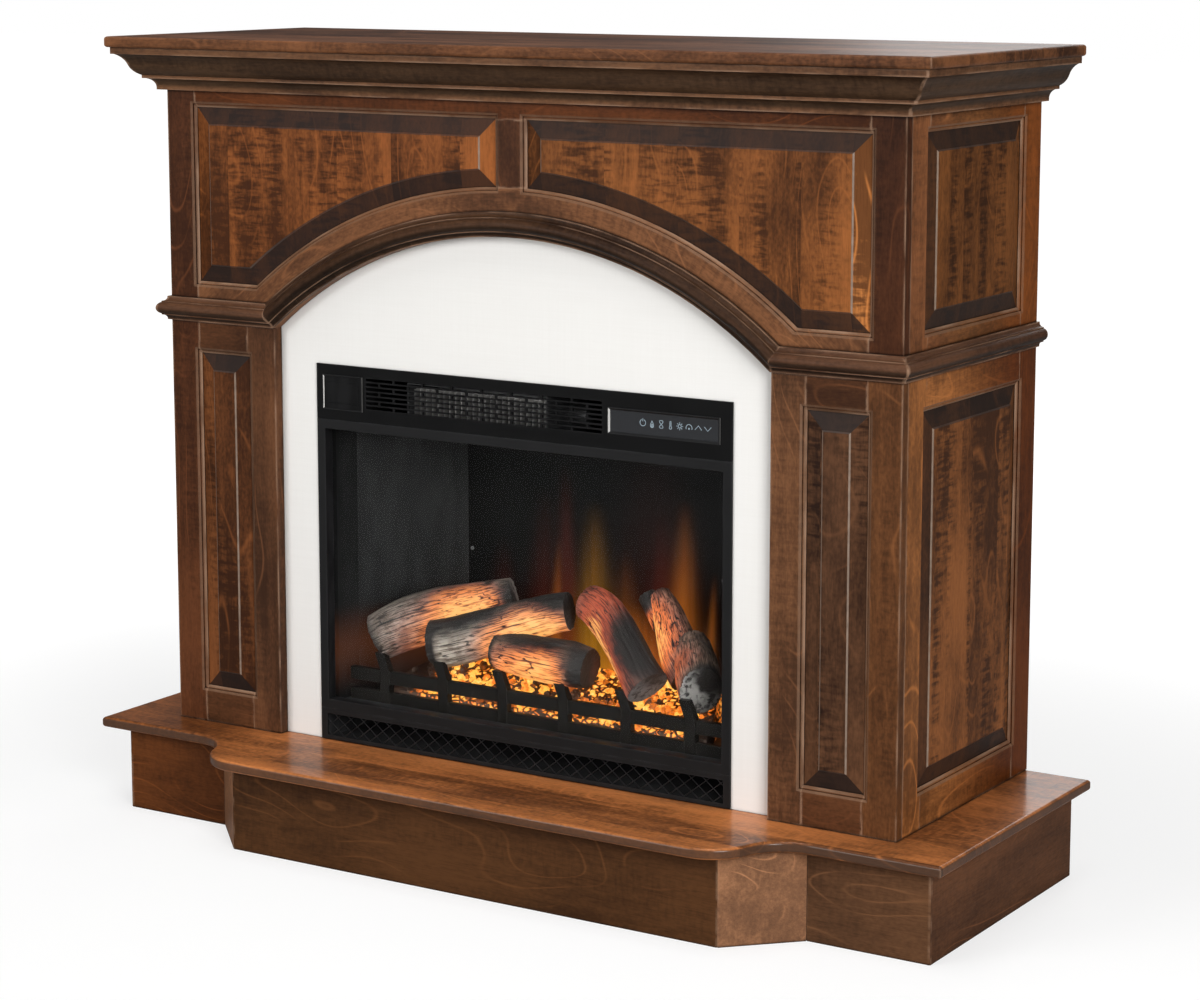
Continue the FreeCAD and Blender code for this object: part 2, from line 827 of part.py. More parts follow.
def front_plan(reach, inner):
    """Plan of a front moulding from an inner end to the mitred right corner."""
    return [(inner, front), (half, front), (half + reach, front - reach), (inner, front - reach)]


def side_plan(sign, reach):
    """Plan of a side moulding from its mitred front corner to the back."""
    return [(sign * half, front), (sign * (half + reach), front - reach),
            (sign * (half + reach), back), (sign * half, back)]


def crown():
    """Crown moulding under the shelf, mitred at the two front corners."""
    reach = dim("crown_projection")
    tall = (crown_profile(front, -1)[-1][1], shelf_under)
    wide = half + reach
    run = prism("crown_front_run", "YZ", crown_profile(front, -1), (-wide, wide))
    path = [(-half, front), (-wide, front - reach), (wide, front - reach), (half, front)]
    node(combine("MultiCommon", "crown_front", [run, prism("crown_front_plan", "XY", path, tall)]))
    returns = []
    for side, sign in SIDES:
        profile = crown_profile(sign * half, sign)
        run = prism(f"crown_{side}_run", "XZ", profile, (front - reach, back))
        plan = prism(f"crown_{side}_plan", "XY", side_plan(sign, reach), tall)
        returns.append(combine("MultiCommon", f"crown_{side}", [run, plan]))
    node(combine("Compound", "crown_returns", returns))


def belt():
    """Belt moulding round the cabinet, mitred into the moulding that follows the arch."""
    reach = dim("belt_projection")
    tall = (belt_low, belt_high)
    wide = half + reach
    outer_radius = arch_radius + belt_height
    rise = belt_high - arch_z
    toe = root(outer_radius * outer_radius - rise * rise)
    depth = (front - reach, front)
    returns = []
    for side, sign in SIDES:
        profile = belt_profile(front, belt_low, -1)
        run = prism(f"belt_front_{side}_run", "YZ", profile, mirrored(sign, arch_half, wide))
        path = [(sign * x, y) for x, y in front_plan(reach, arch_half)]
        plan = prism(f"belt_front_{side}_plan", "XY", path, tall)
        path = [(sign * arch_half, belt_low), (sign * wide, belt_low),
                (sign * wide, belt_high), (sign * toe, belt_high)]
        scribe = prism(f"belt_front_{side}_scribe", "XZ", path, depth)
        node(combine("MultiCommon", f"belt_front_{side}", [run, plan, scribe]))
        profile = belt_profile(sign * half, belt_low, sign)
        run = prism(f"belt_side_{side}_run", "XZ", profile, (front - reach, back))
        plan = prism(f"belt_side_{side}_plan", "XY", side_plan(sign, reach), tall)
        returns.append(combine("MultiCommon", f"belt_side_{side}", [run, plan]))
    node(combine("Compound", "belt_returns", returns))

    ring = doc.addObject("PartDesign::Body", "arch_moulding_ring")
    turned = ring.newObject("PartDesign::Revolution", "arch_moulding_turned")
    section = sketch(ring, "arch_moulding_section", "YZ", ZERO, belt_profile(front, arch_radius, -1), arch_z)
    turned.Profile = section
    turned.ReferenceAxis = (section, ["H_Axis"])
    turned.Midplane = True
    turned.Angle = ARCH_SWEEP
    over = 2 * arch_rise
    slope = (toe - arch_half) / belt_height
    high = arch_half + slope * over
    path = [(-arch_half, belt_low), (arch_half, belt_low), (high, belt_low + over), (-high, belt_low + over)]
    scribe = prism("arch_moulding_scribe", "XZ", path, depth)
    node(combine("MultiCommon", "arch_moulding", [ring, scribe]))


def mantel_shelf():
    """Shelf board with eased edges, over the crown."""
    wide = half + dim("shelf_overhang")
    lip = front - dim("shelf_overhang")
    path = [(-wide, lip), (wide, lip), (wide, back), (-wide, back)]
    shelf = prism("mantel_shelf", "XY", path, (shelf_under, dim("mantel_height")))
    node(ease(shelf, dim("shelf_edge_radius")))


# Insert
trim_front = frame_back - dim("trim_thickness")
trim_y = (trim_front, frame_back)
trim_half = dim("insert_width") / 2
trim_top = base + dim("insert_height")
casing_half = trim_half - dim("trim_side_lap")
casing_top = trim_top - dim("trim_top_lap")
skin = dim("sheet_thickness")
inside_half = casing_half - skin
grille_top = base + dim("trim_foot") + dim("grille_height")
fascia_low = trim_top - dim("fascia_height")
control_x = along(trim_half - dim("control_from_side") - dim("control_width"), dim("control_width"))
blank_x = along(dim("blank_from_side") - trim_half, dim("blank_bezel_width"))
vent_x = (blank_x[1] + dim("vent_blank_gap"), control_x[0] - dim("vent_control_gap"))
glass_front = trim_front + dim("glass_recess")
flange_front = glass_front + dim("glass_thickness") + dim("flange_setback")
screen_y = along(flange_front + dim("firebox_depth"), dim("screen_thickness"))
casing_back = screen_y[1] + dim("rear_space")
floor_top = grille_top + dim("firebox_floor_lift")
ceiling_low = fascia_low - dim("firebox_ceiling_drop")
ceiling_top = ceiling_low + skin
mouth = inside_half - dim("firebox_flange")
throat = dim("firebox_throat") / 2
splay = (mouth - throat) / (dim("firebox_depth") - dim("firebox_return"))
grate_top = floor_top + dim("grate_upright_height")
fit = dim("running_clearance")


def facing_panel():
    """White board behind the arch, cut out for the insert's casing."""
    lap = dim("facing_lap")
    gap = dim("facing_gap")
    depth = along(frame_back, dim("facing_thickness"))
    wide = grow((-arch_half, arch_half), lap)
    blank = board("facing_blank", wide, depth, (base, arch_top + lap))
    hole = board("facing_hole", (-(casing_half + gap), casing_half + gap), depth, (base, casing_top + gap))
    node(cut("facing_panel", blank, [hole]))


def insert_housing():
    """Sheet-metal casing, open at the front, with the cord's hole in its back."""
    outer = board("casing_outer", (-casing_half, casing_half), (frame_back, casing_back), (base, casing_top))
    inner = board("casing_inner", (-inside_half, inside_half), (frame_back, casing_back - skin),
                  (base + skin, casing_top - skin))
    x = casing_half - dim("gland_from_side")
    z = base + dim("gland_lift")
    hole = rod("cord_hole", dim("gland_bore_radius"), x, (casing_back - skin, casing_back), z, "Y")
    node(cut("insert_housing", outer, [inner, hole]))
    span = along(casing_back, dim("gland_length"))
    body = rod("gland_body", dim("gland_radius"), x, span, z, "Y")
    bore = rod("gland_bore", dim("gland_bore_radius"), x, span, z, "Y")
    node(cut("cord_gland", body, [bore]))


def vent_slots():
    """Staggered rows of slots over the vent's width, the outer ones cut short at its ends."""
    left, right = vent_x
    pitch = dim("vent_slot_pitch")
    slots = []
    for row in range(VENT_ROWS):
        z = along(fascia_low + dim("vent_lift") + row * dim("vent_row_pitch"), dim("vent_slot_height"))
        start = left - (pitch / 2 if row % 2 else ZERO)
        while start.value < right.value:
            low = start if start.value > left.value else left
            end = start + pitch - dim("vent_bridge")
            high = end if end.value < right.value else right
            if high.value - low.value > dim("vent_slot_height").value:
                slots.append(board(f"slot_{len(slots)}", (low, high), trim_y, z))
            start = start + pitch
    return slots


def fascia():
    """Slotted plate over the firebox, with a blank plate at the left and touch controls at the right."""
    blank = board("fascia_blank", (-trim_half, trim_half), trim_y, (fascia_low, trim_top))
    window_z = along(fascia_low + dim("control_lift"), dim("control_height"))
    window = board("control_window", control_x, trim_y, window_z)
    node(cut("top_fascia", blank, [window] + vent_slots()))
    pane = (trim_front + dim("control_recess"), frame_back)
    node(board("control_panel", control_x, pane, window_z))
    margin = dim("board_margin")
    circuit = along(frame_back, dim("circuit_thickness"))
    node(board("control_board", grow(control_x, margin), circuit, grow(window_z, margin)))

    middle_z = (fascia_low + trim_top) / 2
    bezel_front = trim_front - dim("blank_bezel_thickness")
    middle_x = (blank_x[0] + blank_x[1]) / 2
    bezel_z = around(middle_z, dim("blank_bezel_height"))
    bezel = board("blank_bezel", blank_x, (bezel_front, trim_front), bezel_z)
    plate = board("blank_raised", around(middle_x, dim("blank_plate_width")),
                  (bezel_front - dim("blank_plate_thickness"), bezel_front),
                  around(middle_z, dim("blank_plate_height")))
    node(combine("MultiFuse", "blank_plate", [bezel, plate]))


def glass_front_frame():
    """Flat frame with a collar behind it, and the glass on the collar's back edge."""
    rim = dim("glass_rim")
    x = (-(trim_half - rim), trim_half - rim)
    z = (grille_top + rim, fascia_low - rim)
    wall = dim("collar_thickness")
    plate = board("glass_frame_plate", (-trim_half, trim_half), trim_y, (grille_top, fascia_low))
    collar = board("glass_frame_collar", grow(x, wall), (trim_front, glass_front), grow(z, wall))
    hole = board("glass_frame_hole", x, (trim_front, glass_front), z)
    node(cut("glass_frame", combine("MultiFuse", "glass_frame_blank", [plate, collar]), [hole]))
    lap = dim("glass_lap")
    node(board("front_glass", grow(x, lap), along(glass_front, dim("glass_thickness")), grow(z, lap)))


def clip(polygon, limit, keep_below):
    """Part of a convex (x, z) polygon on one side of a vertical line."""
    kept = []
    for index, here in enumerate(polygon):
        there = polygon[(index + 1) % len(polygon)]
        inside = [point[0] <= limit if keep_below else point[0] >= limit for point in (here, there)]
        if inside[0]:
            kept.append(here)
        if inside[0] != inside[1]:
            share = (limit - here[0]) / (there[0] - here[0])
            kept.append((limit, here[1] + share * (there[1] - here[1])))
    return kept


def lattice_layer(x, z, y, lean):
    """One layer of leaning bars between two rails, cut off at the opening's ends."""
    pitch = dim("lattice_pitch").value
    bar = dim("lattice_bar").value
    depth = dim("lattice_thickness").value
    bars = []
    start = x[0] - abs(lean)
    while start < x[1] + abs(lean):
        strip = [(start, z[0]), (start + bar, z[0]), (start + bar + lean, z[1]), (start + lean, z[1])]
        strip = clip(clip(strip, x[1], True), x[0], False)
        if len(strip) > 2:
            corners = [FreeCAD.Vector(px, y, pz) for px, pz in strip]
            face = Part.Face(Part.makePolygon(corners + corners[:1]))
            bars.append(face.extrude(FreeCAD.Vector(0, depth, 0)))
        start += pitch
    return bars


def lower_grille():
    """Plate with a long window, filled by two layers of leaning bars."""
    z = along(base + dim("trim_foot"), dim("grille_height"))
    window_x = grow((-trim_half, trim_half), -dim("grille_side_rim"))
    window_z = (z[0] + dim("grille_low_rim"), z[1] - dim("grille_top_rim"))
    plate = board("grille_plate_blank", (-trim_half, trim_half), trim_y, z)
    plate = cut("grille_plate", plate, [board("grille_window", window_x, trim_y, window_z)])
    span_x = [size.value for size in window_x]
    span_z = [size.value for size in window_z]
    lean = dim("lattice_lean").value
    layer_y = trim_front.value + dim("lattice_thickness").value
    bars = lattice_layer(span_x, span_z, layer_y, -lean)
    bars += lattice_layer(span_x, span_z, layer_y + dim("lattice_thickness").value, lean)
    lattice = doc.addObject("Part::Feature", "grille_lattice")
    lattice.Shape = Part.makeCompound(bars)
    node(combine("Compound", "lower_grille", [plate, lattice]))


def firebox():
    """Side walls, straight and then splayed, floor with brackets, ceiling and the flame screen."""
    slant = skin * root(splay * splay + 1)
    elbow = screen_y[0] - (mouth + skin - throat - slant) / splay
    walls = []
    for side, sign in SIDES:
        path = [
            (sign * inside_half, flange_front),
            (sign * mouth, flange_front),
            (sign * mouth, flange_front + dim("firebox_return")),
            (sign * throat, screen_y[0]),
            (sign * (throat + slant), screen_y[0]),
            (sign * (mouth + skin), elbow),
            (sign * (mouth + skin), flange_front + skin),
            (sign * inside_half, flange_front + skin),
        ]
        walls.append(prism(f"firebox_wall_{side}", "XY", path, (floor_top, ceiling_low)))
    node(combine("Compound", "firebox_walls", walls))

    inner_y = (flange_front, casing_back - skin)
    inner_x = (-inside_half, inside_half)
    node(board("firebox_ceiling", inner_x, inner_y, (ceiling_low, ceiling_top)))
    screen = board("flame_screen", (-(throat + slant), throat + slant), screen_y, (floor_top, ceiling_low))
    node(screen)
    head_y = (screen_y[0] - dim("screen_screw_head"), screen_y[0])
    head_x = throat - dim("screen_screw_inset")
    head_z = (floor_top + ceiling_low) / 2
    screws = [rod(f"screw_{side}", dim("screen_screw_radius"), sign * head_x, head_y, head_z, "Y")
              for side, sign in SIDES]
    node(combine("Compound", "screen_screws", screws))

    plate = board("floor_plate", inner_x, inner_y, (floor_top - skin, floor_top))
    spindle_y = (screen_y[1] + casing_back - skin) / 2
    spindle_z = floor_top + dim("spindle_lift")
    tall = (floor_top, spindle_z + dim("bracket_head"))
    pieces = [plate]
    holes = []
    bracket = dim("bracket_thickness")
    for side, sign in SIDES:
        x = around(sign * (dim("spindle_span") + bracket) / 2, bracket)
        pieces.append(board(f"bracket_{side}", x, around(spindle_y, dim("bracket_width")), tall))
        holes.append(rod(f"bracket_hole_{side}", dim("spindle_radius") + fit, x, spindle_y, spindle_z))
    node(cut("firebox_floor", combine("MultiFuse", "floor_blank", pieces), holes))
    flame_effect(spindle_y, spindle_z)


def flame_effect(y, z):
    """Finned spindle that turns behind the screen, its motor, and the lamp strip."""
    clear = dim("spindle_span") / 2
    outside = clear + dim("bracket_thickness")
    tip = outside + dim("shaft_grip")
    shaft = rod("spindle_shaft", dim("spindle_radius"), (-(outside + dim("spindle_overhang")), tip), y, z)
    fin_half = clear - dim("fin_margin")
    fins = []
    for index in range(FIN_COUNT):
        fin = doc.addObject("Part::Box", f"spindle_fin_{index}")
        bind(fin, "Length", 2 * fin_half)
        bind(fin, "Width", dim("fin_thickness"))
        bind(fin, "Height", 2 * dim("fin_radius"))
        angle = 180 * index / FIN_COUNT
        radial_box(fin, -fin_half, y, z, dim("fin_thickness") / 2, -dim("fin_radius"), angle)
        fins.append(fin)
    node(combine("MultiFuse", "flicker_spindle", [shaft] + fins))
    span = along(outside, dim("flicker_motor_length"))
    body = rod("flicker_motor_body", dim("flicker_motor_radius"), span, y, z)
    bore = rod("flicker_motor_bore", dim("spindle_radius") + fit, (outside, tip + dim("end_play")), y, z)
    node(cut("flicker_motor", body, [bore]))
    lamp_y = (casing_back - skin - dim("lamp_depth"), casing_back - skin)
    node(board("lamp_strip", around(ZERO, dim("lamp_width")), lamp_y, along(floor_top, dim("lamp_height"))))


def radial_box(box, x, y, z, half_width, inner, angle):
    """Turn a box about an axis along X through (y, z): its Height runs outwards from inner."""
    cosine = math.cos(math.radians(angle))
    sine = math.sin(math.radians(angle))
    box.Placement = FreeCAD.Placement(
        FreeCAD.Vector(), FreeCAD.Rotation(FreeCAD.Vector(1, 0, 0), angle))
    bind(box, "Placement.Base.x", x)
    bind(box, "Placement.Base.y", y - cosine * half_width - sine * inner)
    bind(box, "Placement.Base.z", z - sine * half_width + cosine * inner)


def blower():
    """Housing behind the vents with its cross-flow wheel, motor and heating element."""
    left, right = along(vent_x[0] + dim("blower_from_vent"), dim("blower_width"))
    inner_x = (left + skin, right - skin)
    y = along(frame_back, dim("blower_depth"))
    z = (ceiling_top, casing_top - skin - dim("blower_headroom"))
    wheel_y = y[1] - skin - dim("wheel_back_gap") - dim("wheel_radius")
    wheel_z = (z[0] + z[1]) / 2
    outer = board("blower_outer", (left, right), y, z)
    inner = board("blower_inner", inner_x, (y[0], y[1] - skin), grow(z, -skin))
    inlet = board("blower_inlet", grow(inner_x, -dim("blower_inlet_margin")), (y[1] - skin, y[1]),
                  around(wheel_z, dim("blower_inlet_height")))
    shaft_radius = dim("blower_shaft_radius")
    hole_left = rod("blower_hole_left", shaft_radius + fit, (left, left + skin), wheel_y, wheel_z)
    hole_right = rod("blower_hole_right", shaft_radius + fit, (right - skin, right), wheel_y, wheel_z)
    node(cut("blower_housing", outer, [inner, inlet, hole_left, hole_right]))

    tip = right + dim("shaft_grip")
    shaft = rod("blower_shaft", shaft_radius, (left - dim("blower_shaft_stub"), tip), wheel_y, wheel_z)
    wheel_x = grow(inner_x, -dim("wheel_margin"))
    disc = dim("wheel_disc")
    discs = [rod("wheel_disc_left", dim("wheel_radius"), along(wheel_x[0], disc), wheel_y, wheel_z),
             rod("wheel_disc_right", dim("wheel_radius"), (wheel_x[1] - disc, wheel_x[1]), wheel_y, wheel_z)]
    blades = []
    for index in range(BLADE_COUNT):
        blade = doc.addObject("Part::Box", f"blade_{index}")
        bind(blade, "Length", wheel_x[1] - wheel_x[0])
        bind(blade, "Width", dim("blade_thickness"))
        bind(blade, "Height", dim("blade_depth"))
        rim = dim("wheel_radius") - dim("blade_depth") - dim("blade_thickness")
        angle = 360 * index / BLADE_COUNT
        radial_box(blade, wheel_x[0], wheel_y, wheel_z, dim("blade_thickness") / 2, rim, angle)
        blades.append(blade)
    node(combine("MultiFuse", "blower_wheel", [shaft] + discs + blades))

    span = along(right, dim("blower_motor_length"))
    body = rod("blower_motor_body", dim("blower_motor_radius"), span, wheel_y, wheel_z)
    bore = rod("blower_motor_bore", shaft_radius + fit, (right, tip + dim("end_play")), wheel_y, wheel_z)
    node(cut("blower_motor", body, [bore]))
    heater_element(inner_x, grow(z, -dim("heater_gap")))


def heater_element(x, fin_z):
    """Two bars across the duct with a row of fins standing on their front."""
    fin_y = along(frame_back + dim("heater_setback"), dim("heater_fin_depth"))
    bar_y = along(fin_y[1], dim("heater_bar_depth"))
    tall = dim("heater_bar_height")
    pieces = [board("heater_bar_low", x, bar_y, along(fin_z[0], tall)),
              board("heater_bar_high", x, bar_y, (fin_z[1] - tall, fin_z[1]))]
    pitch = dim("heater_fin_pitch")
    start = x[0] + pitch / 2
    while start.value + dim("heater_fin_thickness").value < x[1].value:
        fin = board(f"heater_fin_{len(pieces)}", along(start, dim("heater_fin_thickness")), fin_y, fin_z)
        pieces.append(fin)
        start = start + pitch
    node(combine("Compound", "heater_element", pieces))


def ember_bed():
    """Bed of embers that rises from the grate towards the screen, between the splayed walls."""
    y = (flange_front + dim("ember_setback"), screen_y[0] - dim("ember_back_gap"))
    high = floor_top + dim("ember_back_height")
    path = [(y[0], floor_top), (y[1], floor_top), (y[1], high), (y[0], floor_top + dim("ember_front_height"))]
    mound = prism("ember_mound", "YZ", path, (-mouth, mouth))
    wall = throat + splay * dim("ember_back_gap")
    wide = [mouth - dim("ember_front_side_gap"), wall - dim("ember_back_side_gap")]
    path = [(-wide[0], y[0]), (wide[0], y[0]), (wide[1], y[1]), (-wide[1], y[1])]
    plan = prism("ember_plan", "XY", path, (floor_top, high))
    return node(combine("MultiCommon", "ember_bed", [mound, plan]))


def log_grate():
    """Front grate: two bars and a row of uprights whose heads lean to one side."""
    low = flange_front + dim("grate_setback")
    upright_y = along(low, dim("grate_upright_depth"))
    bar_y = around(low + dim("grate_upright_depth") / 2, dim("grate_bar_depth"))
    length = 2 * (mouth - dim("grate_side_gap"))
    wide = around(ZERO, length)
    high_z = along(floor_top + dim("grate_high_bar_lift"), dim("grate_high_bar"))
    pieces = [board("grate_low_bar", wide, bar_y, along(floor_top, dim("grate_low_bar"))),
              board("grate_high_bar", wide, bar_y, high_z)]
    thick = dim("grate_upright_width")
    lean = dim("grate_lean")
    pitch = (length - 2 * dim("grate_upright_inset")) / (UPRIGHT_COUNT - 1)
    for index in range(UPRIGHT_COUNT):
        x = (index - (UPRIGHT_COUNT - 1) / 2) * pitch - thick / 2
        path = [(x, floor_top), (x + thick, floor_top), (x + thick, high_z[1]),
                (x + thick - lean, grate_top), (x - lean, grate_top), (x, high_z[1])]
        pieces.append(prism(f"grate_upright_{index}", "XZ", path, upright_y))
    return node(combine("MultiFuse", "log_grate", pieces))


# A log's thick end: its side (-1 and 1 measure across from the returns, 0 from the middle), its
# distance behind the flange and above the grate, its direction, and how much it slims along it
LogPlace = namedtuple("LogPlace", "name side across setback lift direction slimmer")
LOG_PLACES = [
    LogPlace("front_left_log", 0, -218, 54, 24, (243, 44, 78), 11),
    LogPlace("back_left_log", -1, 8, 50, 23, (214, 101, 81), 18),
    LogPlace("center_log", 0, -86, 48, 30, (183, 2, -9), -4),
    LogPlace("leaning_log", 0, 210, 42, 8, (-146, 60, 111), 2),
    LogPlace("front_right_log", 1, -16, 44, 17, (-68, 67, 47), 9),
    LogPlace("back_right_log", 1, -88, 86, 22, (-113, 60, 107), 8),
]


def logs(rests):
    """Tapered logs, each hollowed where it lies on the grate, the embers and the logs before it."""
    for place in LOG_PLACES:
        cone = doc.addObject("Part::Cone", place.name + "_blank")
        radius = dim(place.name + "_radius")
        wall = mouth - radius
        bind(cone, "Radius1", radius)
        bind(cone, "Radius2", radius - place.slimmer)
        bind(cone, "Height", dim(place.name + "_length"))
        pole = FreeCAD.Vector(*place.direction)
        put(cone, (place.side * wall + place.across, flange_front + place.setback, grate_top + place.lift))
        cone.Placement = FreeCAD.Placement(FreeCAD.Vector(), FreeCAD.Rotation(UP, pole))
        rests.append(node(cut(place.name, cone, list(rests))))


hearth_slab()
plinth()
hidden_joinery()
front_frame()
side_frames()
crown()
belt()
mantel_shelf()
facing_panel()
insert_housing()
fascia()
glass_front_frame()
lower_grille()
firebox()
blower()
bed = ember_bed()
grate = log_grate()
logs([bed, grate])
doc.recompute()

failed = [obj.Name for obj in doc.Objects if {"Invalid", "Error"} & set(obj.State)]
broken = [obj.Label for obj in nodes if obj.Shape.isNull() or not obj.Shape.isValid() or not obj.Shape.Solids]
if failed or broken:
    raise RuntimeError(f"failed objects {failed}, broken shapes {broken}")
os.makedirs("parts", exist_ok=True)
for obj in nodes:
    obj.Shape.exportStep(f"parts/{obj.Label}.step")
box = Part.makeCompound([obj.Shape for obj in nodes]).optimalBoundingBox()
print(f"{len(nodes)} sub-parts, {box.XLength:.1f} x {box.YLength:.1f} x {box.ZLength:.1f} mm")
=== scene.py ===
# %% [markdown]
# # A free-standing electric fireplace
# The object is a stained maple mantel with a white surround, a bowed hearth and a black electric insert.
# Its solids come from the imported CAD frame, already in place and in metres. This lesson dresses them:
# it gives every solid a finish made of nodes, and it adds what a solid can't show well, such as bark,
# coals and the touch symbols.

# %% Load the frame
import itertools
import math

import bpy
import numpy as np
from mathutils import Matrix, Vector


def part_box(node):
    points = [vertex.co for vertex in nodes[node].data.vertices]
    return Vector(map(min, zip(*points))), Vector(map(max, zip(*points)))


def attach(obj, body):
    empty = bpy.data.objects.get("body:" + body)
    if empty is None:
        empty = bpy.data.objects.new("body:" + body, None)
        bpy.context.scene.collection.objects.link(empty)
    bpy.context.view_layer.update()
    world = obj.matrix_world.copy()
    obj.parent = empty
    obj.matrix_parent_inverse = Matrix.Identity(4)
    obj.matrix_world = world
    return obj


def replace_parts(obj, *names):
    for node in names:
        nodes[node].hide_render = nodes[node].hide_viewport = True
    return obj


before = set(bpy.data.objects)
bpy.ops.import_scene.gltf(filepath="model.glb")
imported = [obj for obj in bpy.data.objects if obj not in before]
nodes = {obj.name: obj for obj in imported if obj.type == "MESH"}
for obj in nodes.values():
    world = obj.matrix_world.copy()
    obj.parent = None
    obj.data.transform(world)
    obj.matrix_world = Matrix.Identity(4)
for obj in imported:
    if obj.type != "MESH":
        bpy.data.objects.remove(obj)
scene = bpy.context.scene
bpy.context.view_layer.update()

# %% [markdown]
# ## Camera
# The photograph looks at the fireplace from its right, from a little above the shelf, with a long lens. The
# lens is shifted downwards a little, as a product photographer does to keep the upright lines upright.

# %% Camera
CAMERA_PLACE = (2.756, -4.243, 1.579)
CAMERA_DIP = 8.94
CAMERA_TURN = 32.22
CAMERA_LENS = 90.8
CAMERA_SHIFT = -0.08

camera_data = bpy.data.cameras.new("camera")
camera_data.lens = CAMERA_LENS
camera_data.shift_y = CAMERA_SHIFT
camera = bpy.data.objects.new("camera", camera_data)
camera.location = CAMERA_PLACE
camera.rotation_euler = (math.radians(90 - CAMERA_DIP), 0, math.radians(CAMERA_TURN))
scene.collection.objects.link(camera)
scene.camera = camera
scene.view_settings.view_transform = "Standard"
print("camera at", CAMERA_PLACE)

# %% [markdown]
# ## A short way to wire nodes
# Every finish below is a tree of shader nodes. Written out in full, each node takes four or five lines,
# so a small class places a node, joins its sockets and hands back its result. A plain number or colour is
# set on the socket itself, and only something that changes over the surface becomes a link.

# %% Node wiring
class Wiring:
    """Places shader nodes in one tree and joins them."""

    def __init__(self, tree):
        self.tree = tree

    def fill(self, node, inputs):
        """Give a node its inputs by name or number: a socket is linked, a plain value is set.

        A plain colour has three linear parts, and gets full alpha.
        """
        for key, value in dict(inputs).items():
            socket = node.inputs[key]
            if isinstance(value, bpy.types.NodeSocket):
                self.tree.links.new(value, socket)
            else:
                socket.default_value = (*value, 1.0) if socket.type == "RGBA" else value

    def node(self, kind, inputs=(), **settings):
        """One shader node with its settings and its inputs."""
        made = self.tree.nodes.new("ShaderNode" + kind)
        for name, value in settings.items():
            setattr(made, name, value)
        self.fill(made, inputs)
        return made

    def math(self, operation, *values):
        """A number worked out from one to three numbers."""
        return self.node("Math", enumerate(values), operation=operation).outputs[0]

    def times(self, first, *others):
        """The product of numbers."""
        for other in others:
            first = self.math("MULTIPLY", first, other)
        return first

    def vector(self, operation, *values):
        """A vector worked out from two or three vectors."""
        return self.node("VectorMath", enumerate(values), operation=operation).outputs["Vector"]

    def split(self, vector):
        """The three parts of a vector."""
        return self.node("SeparateXYZ", {"Vector": vector}).outputs

    def merge(self, *parts):
        """A vector from three numbers."""
        return self.node("CombineXYZ", enumerate(parts)).outputs[0]

    def noise(self, place, stretch, detail=2.0, distortion=0.0):
        """Noise from 0 to 1, with its own number of waves per metre along each axis."""
        stretched = self.vector("MULTIPLY", place, stretch)
        inputs = {"Vector": stretched, "Scale": 1.0, "Detail": detail, "Distortion": distortion}
        return self.node("TexNoise", inputs).outputs[0]

    def step(self, value, low, high):
        """0 up to low, 1 from high on, and an S-shaped rise between."""
        inputs = {"Value": value, "From Min": low, "From Max": high}
        return self.node("MapRange", inputs, interpolation_type="SMOOTHSTEP").outputs[0]

    def between(self, value, low, high):
        """A number that runs from low to high as the value runs from 0 to 1."""
        return self.node("MapRange", {"Value": value, "To Min": low, "To Max": high}).outputs[0]

    def blend(self, factor, first, second, mode="MIX"):
        """Two colours mixed by a factor."""
        made = self.node("Mix", {0: factor, 6: first, 7: second}, data_type="RGBA", blend_type=mode)
        return made.outputs[2]

    def relief(self, height, strength, distance):
        """A normal that shows small bumps from a height, up to a distance in metres."""
        inputs = {"Height": height, "Strength": strength, "Distance": distance}
        return self.node("Bump", inputs).outputs[0]


def grey(level):
    """A linear grey."""
    return (level, level, level)


KINDS = {"value": "NodeSocketFloat", "colour": "NodeSocketColor", "vector": "NodeSocketVector"}


def effect(name, inputs, outputs):
    """A node group with named sockets; gives its wiring, its inputs and the node of its outputs."""
    tree = bpy.data.node_groups.new(name, "ShaderNodeTree")
    for side, sockets in (("INPUT", inputs), ("OUTPUT", outputs)):
        for label, kind in sockets.items():
            tree.interface.new_socket(label, in_out=side, socket_type=KINDS[kind])
    return Wiring(tree), tree.nodes.new("NodeGroupInput").outputs, tree.nodes.new("NodeGroupOutput")


def use(wiring, name, **values):
    """Place a node group in a finish, with its own values."""
    return wiring.node("Group", values, node_tree=bpy.data.node_groups[name]).outputs


def finish(name):
    """A new material: its wiring, its Principled shader and its Object coordinates."""
    material = bpy.data.materials.new(name)
    material.use_nodes = True
    wiring = Wiring(material.node_tree)
    shader = material.node_tree.nodes["Principled BSDF"]
    place = wiring.node("TexCoord").outputs["Object"]
    return material, wiring, shader, place


print("wiring ready, socket kinds:", ", ".join(KINDS))

# %% [markdown]
# ## Studio light
# The photograph has a large soft light at the front right, so that the front and the right side are lit
# about alike and the slanted plinth boards are the brightest. A weaker light at the left lifts the
# shadows, one above lights the shelf and the slab, and one behind shows the open back. The world is a dim
# room for the lamps' sake, and shows white where the camera looks at it.

# %% Lamps
AIM = (0.0, -0.1, 0.75)


def softbox(name, place, size, power):
    """A square lamp that looks at the middle of the fireplace."""
    lamp = bpy.data.lights.new(name, "AREA")
    lamp.size = size
    lamp.energy = power
    made = bpy.data.objects.new(name, lamp)
    towards = np.subtract(AIM, place)
    turn = math.atan2(-towards[0], towards[1])
    tip = math.atan2(np.hypot(towards[0], towards[1]), -towards[2])
    made.location = place
    made.rotation_euler = (tip, 0, turn)
    scene.collection.objects.link(made)


softbox("key_softbox", (4.4, -3.6, 2.3), 2.4, 265)
softbox("fill_softbox", (-2.6, -5.0, 2.4), 2.6, 130)
softbox("top_softbox", (0.2, -1.2, 4.6), 2.6, 75)
softbox("back_softbox", (-0.6, 4.8, 2.6), 2.6, 60)

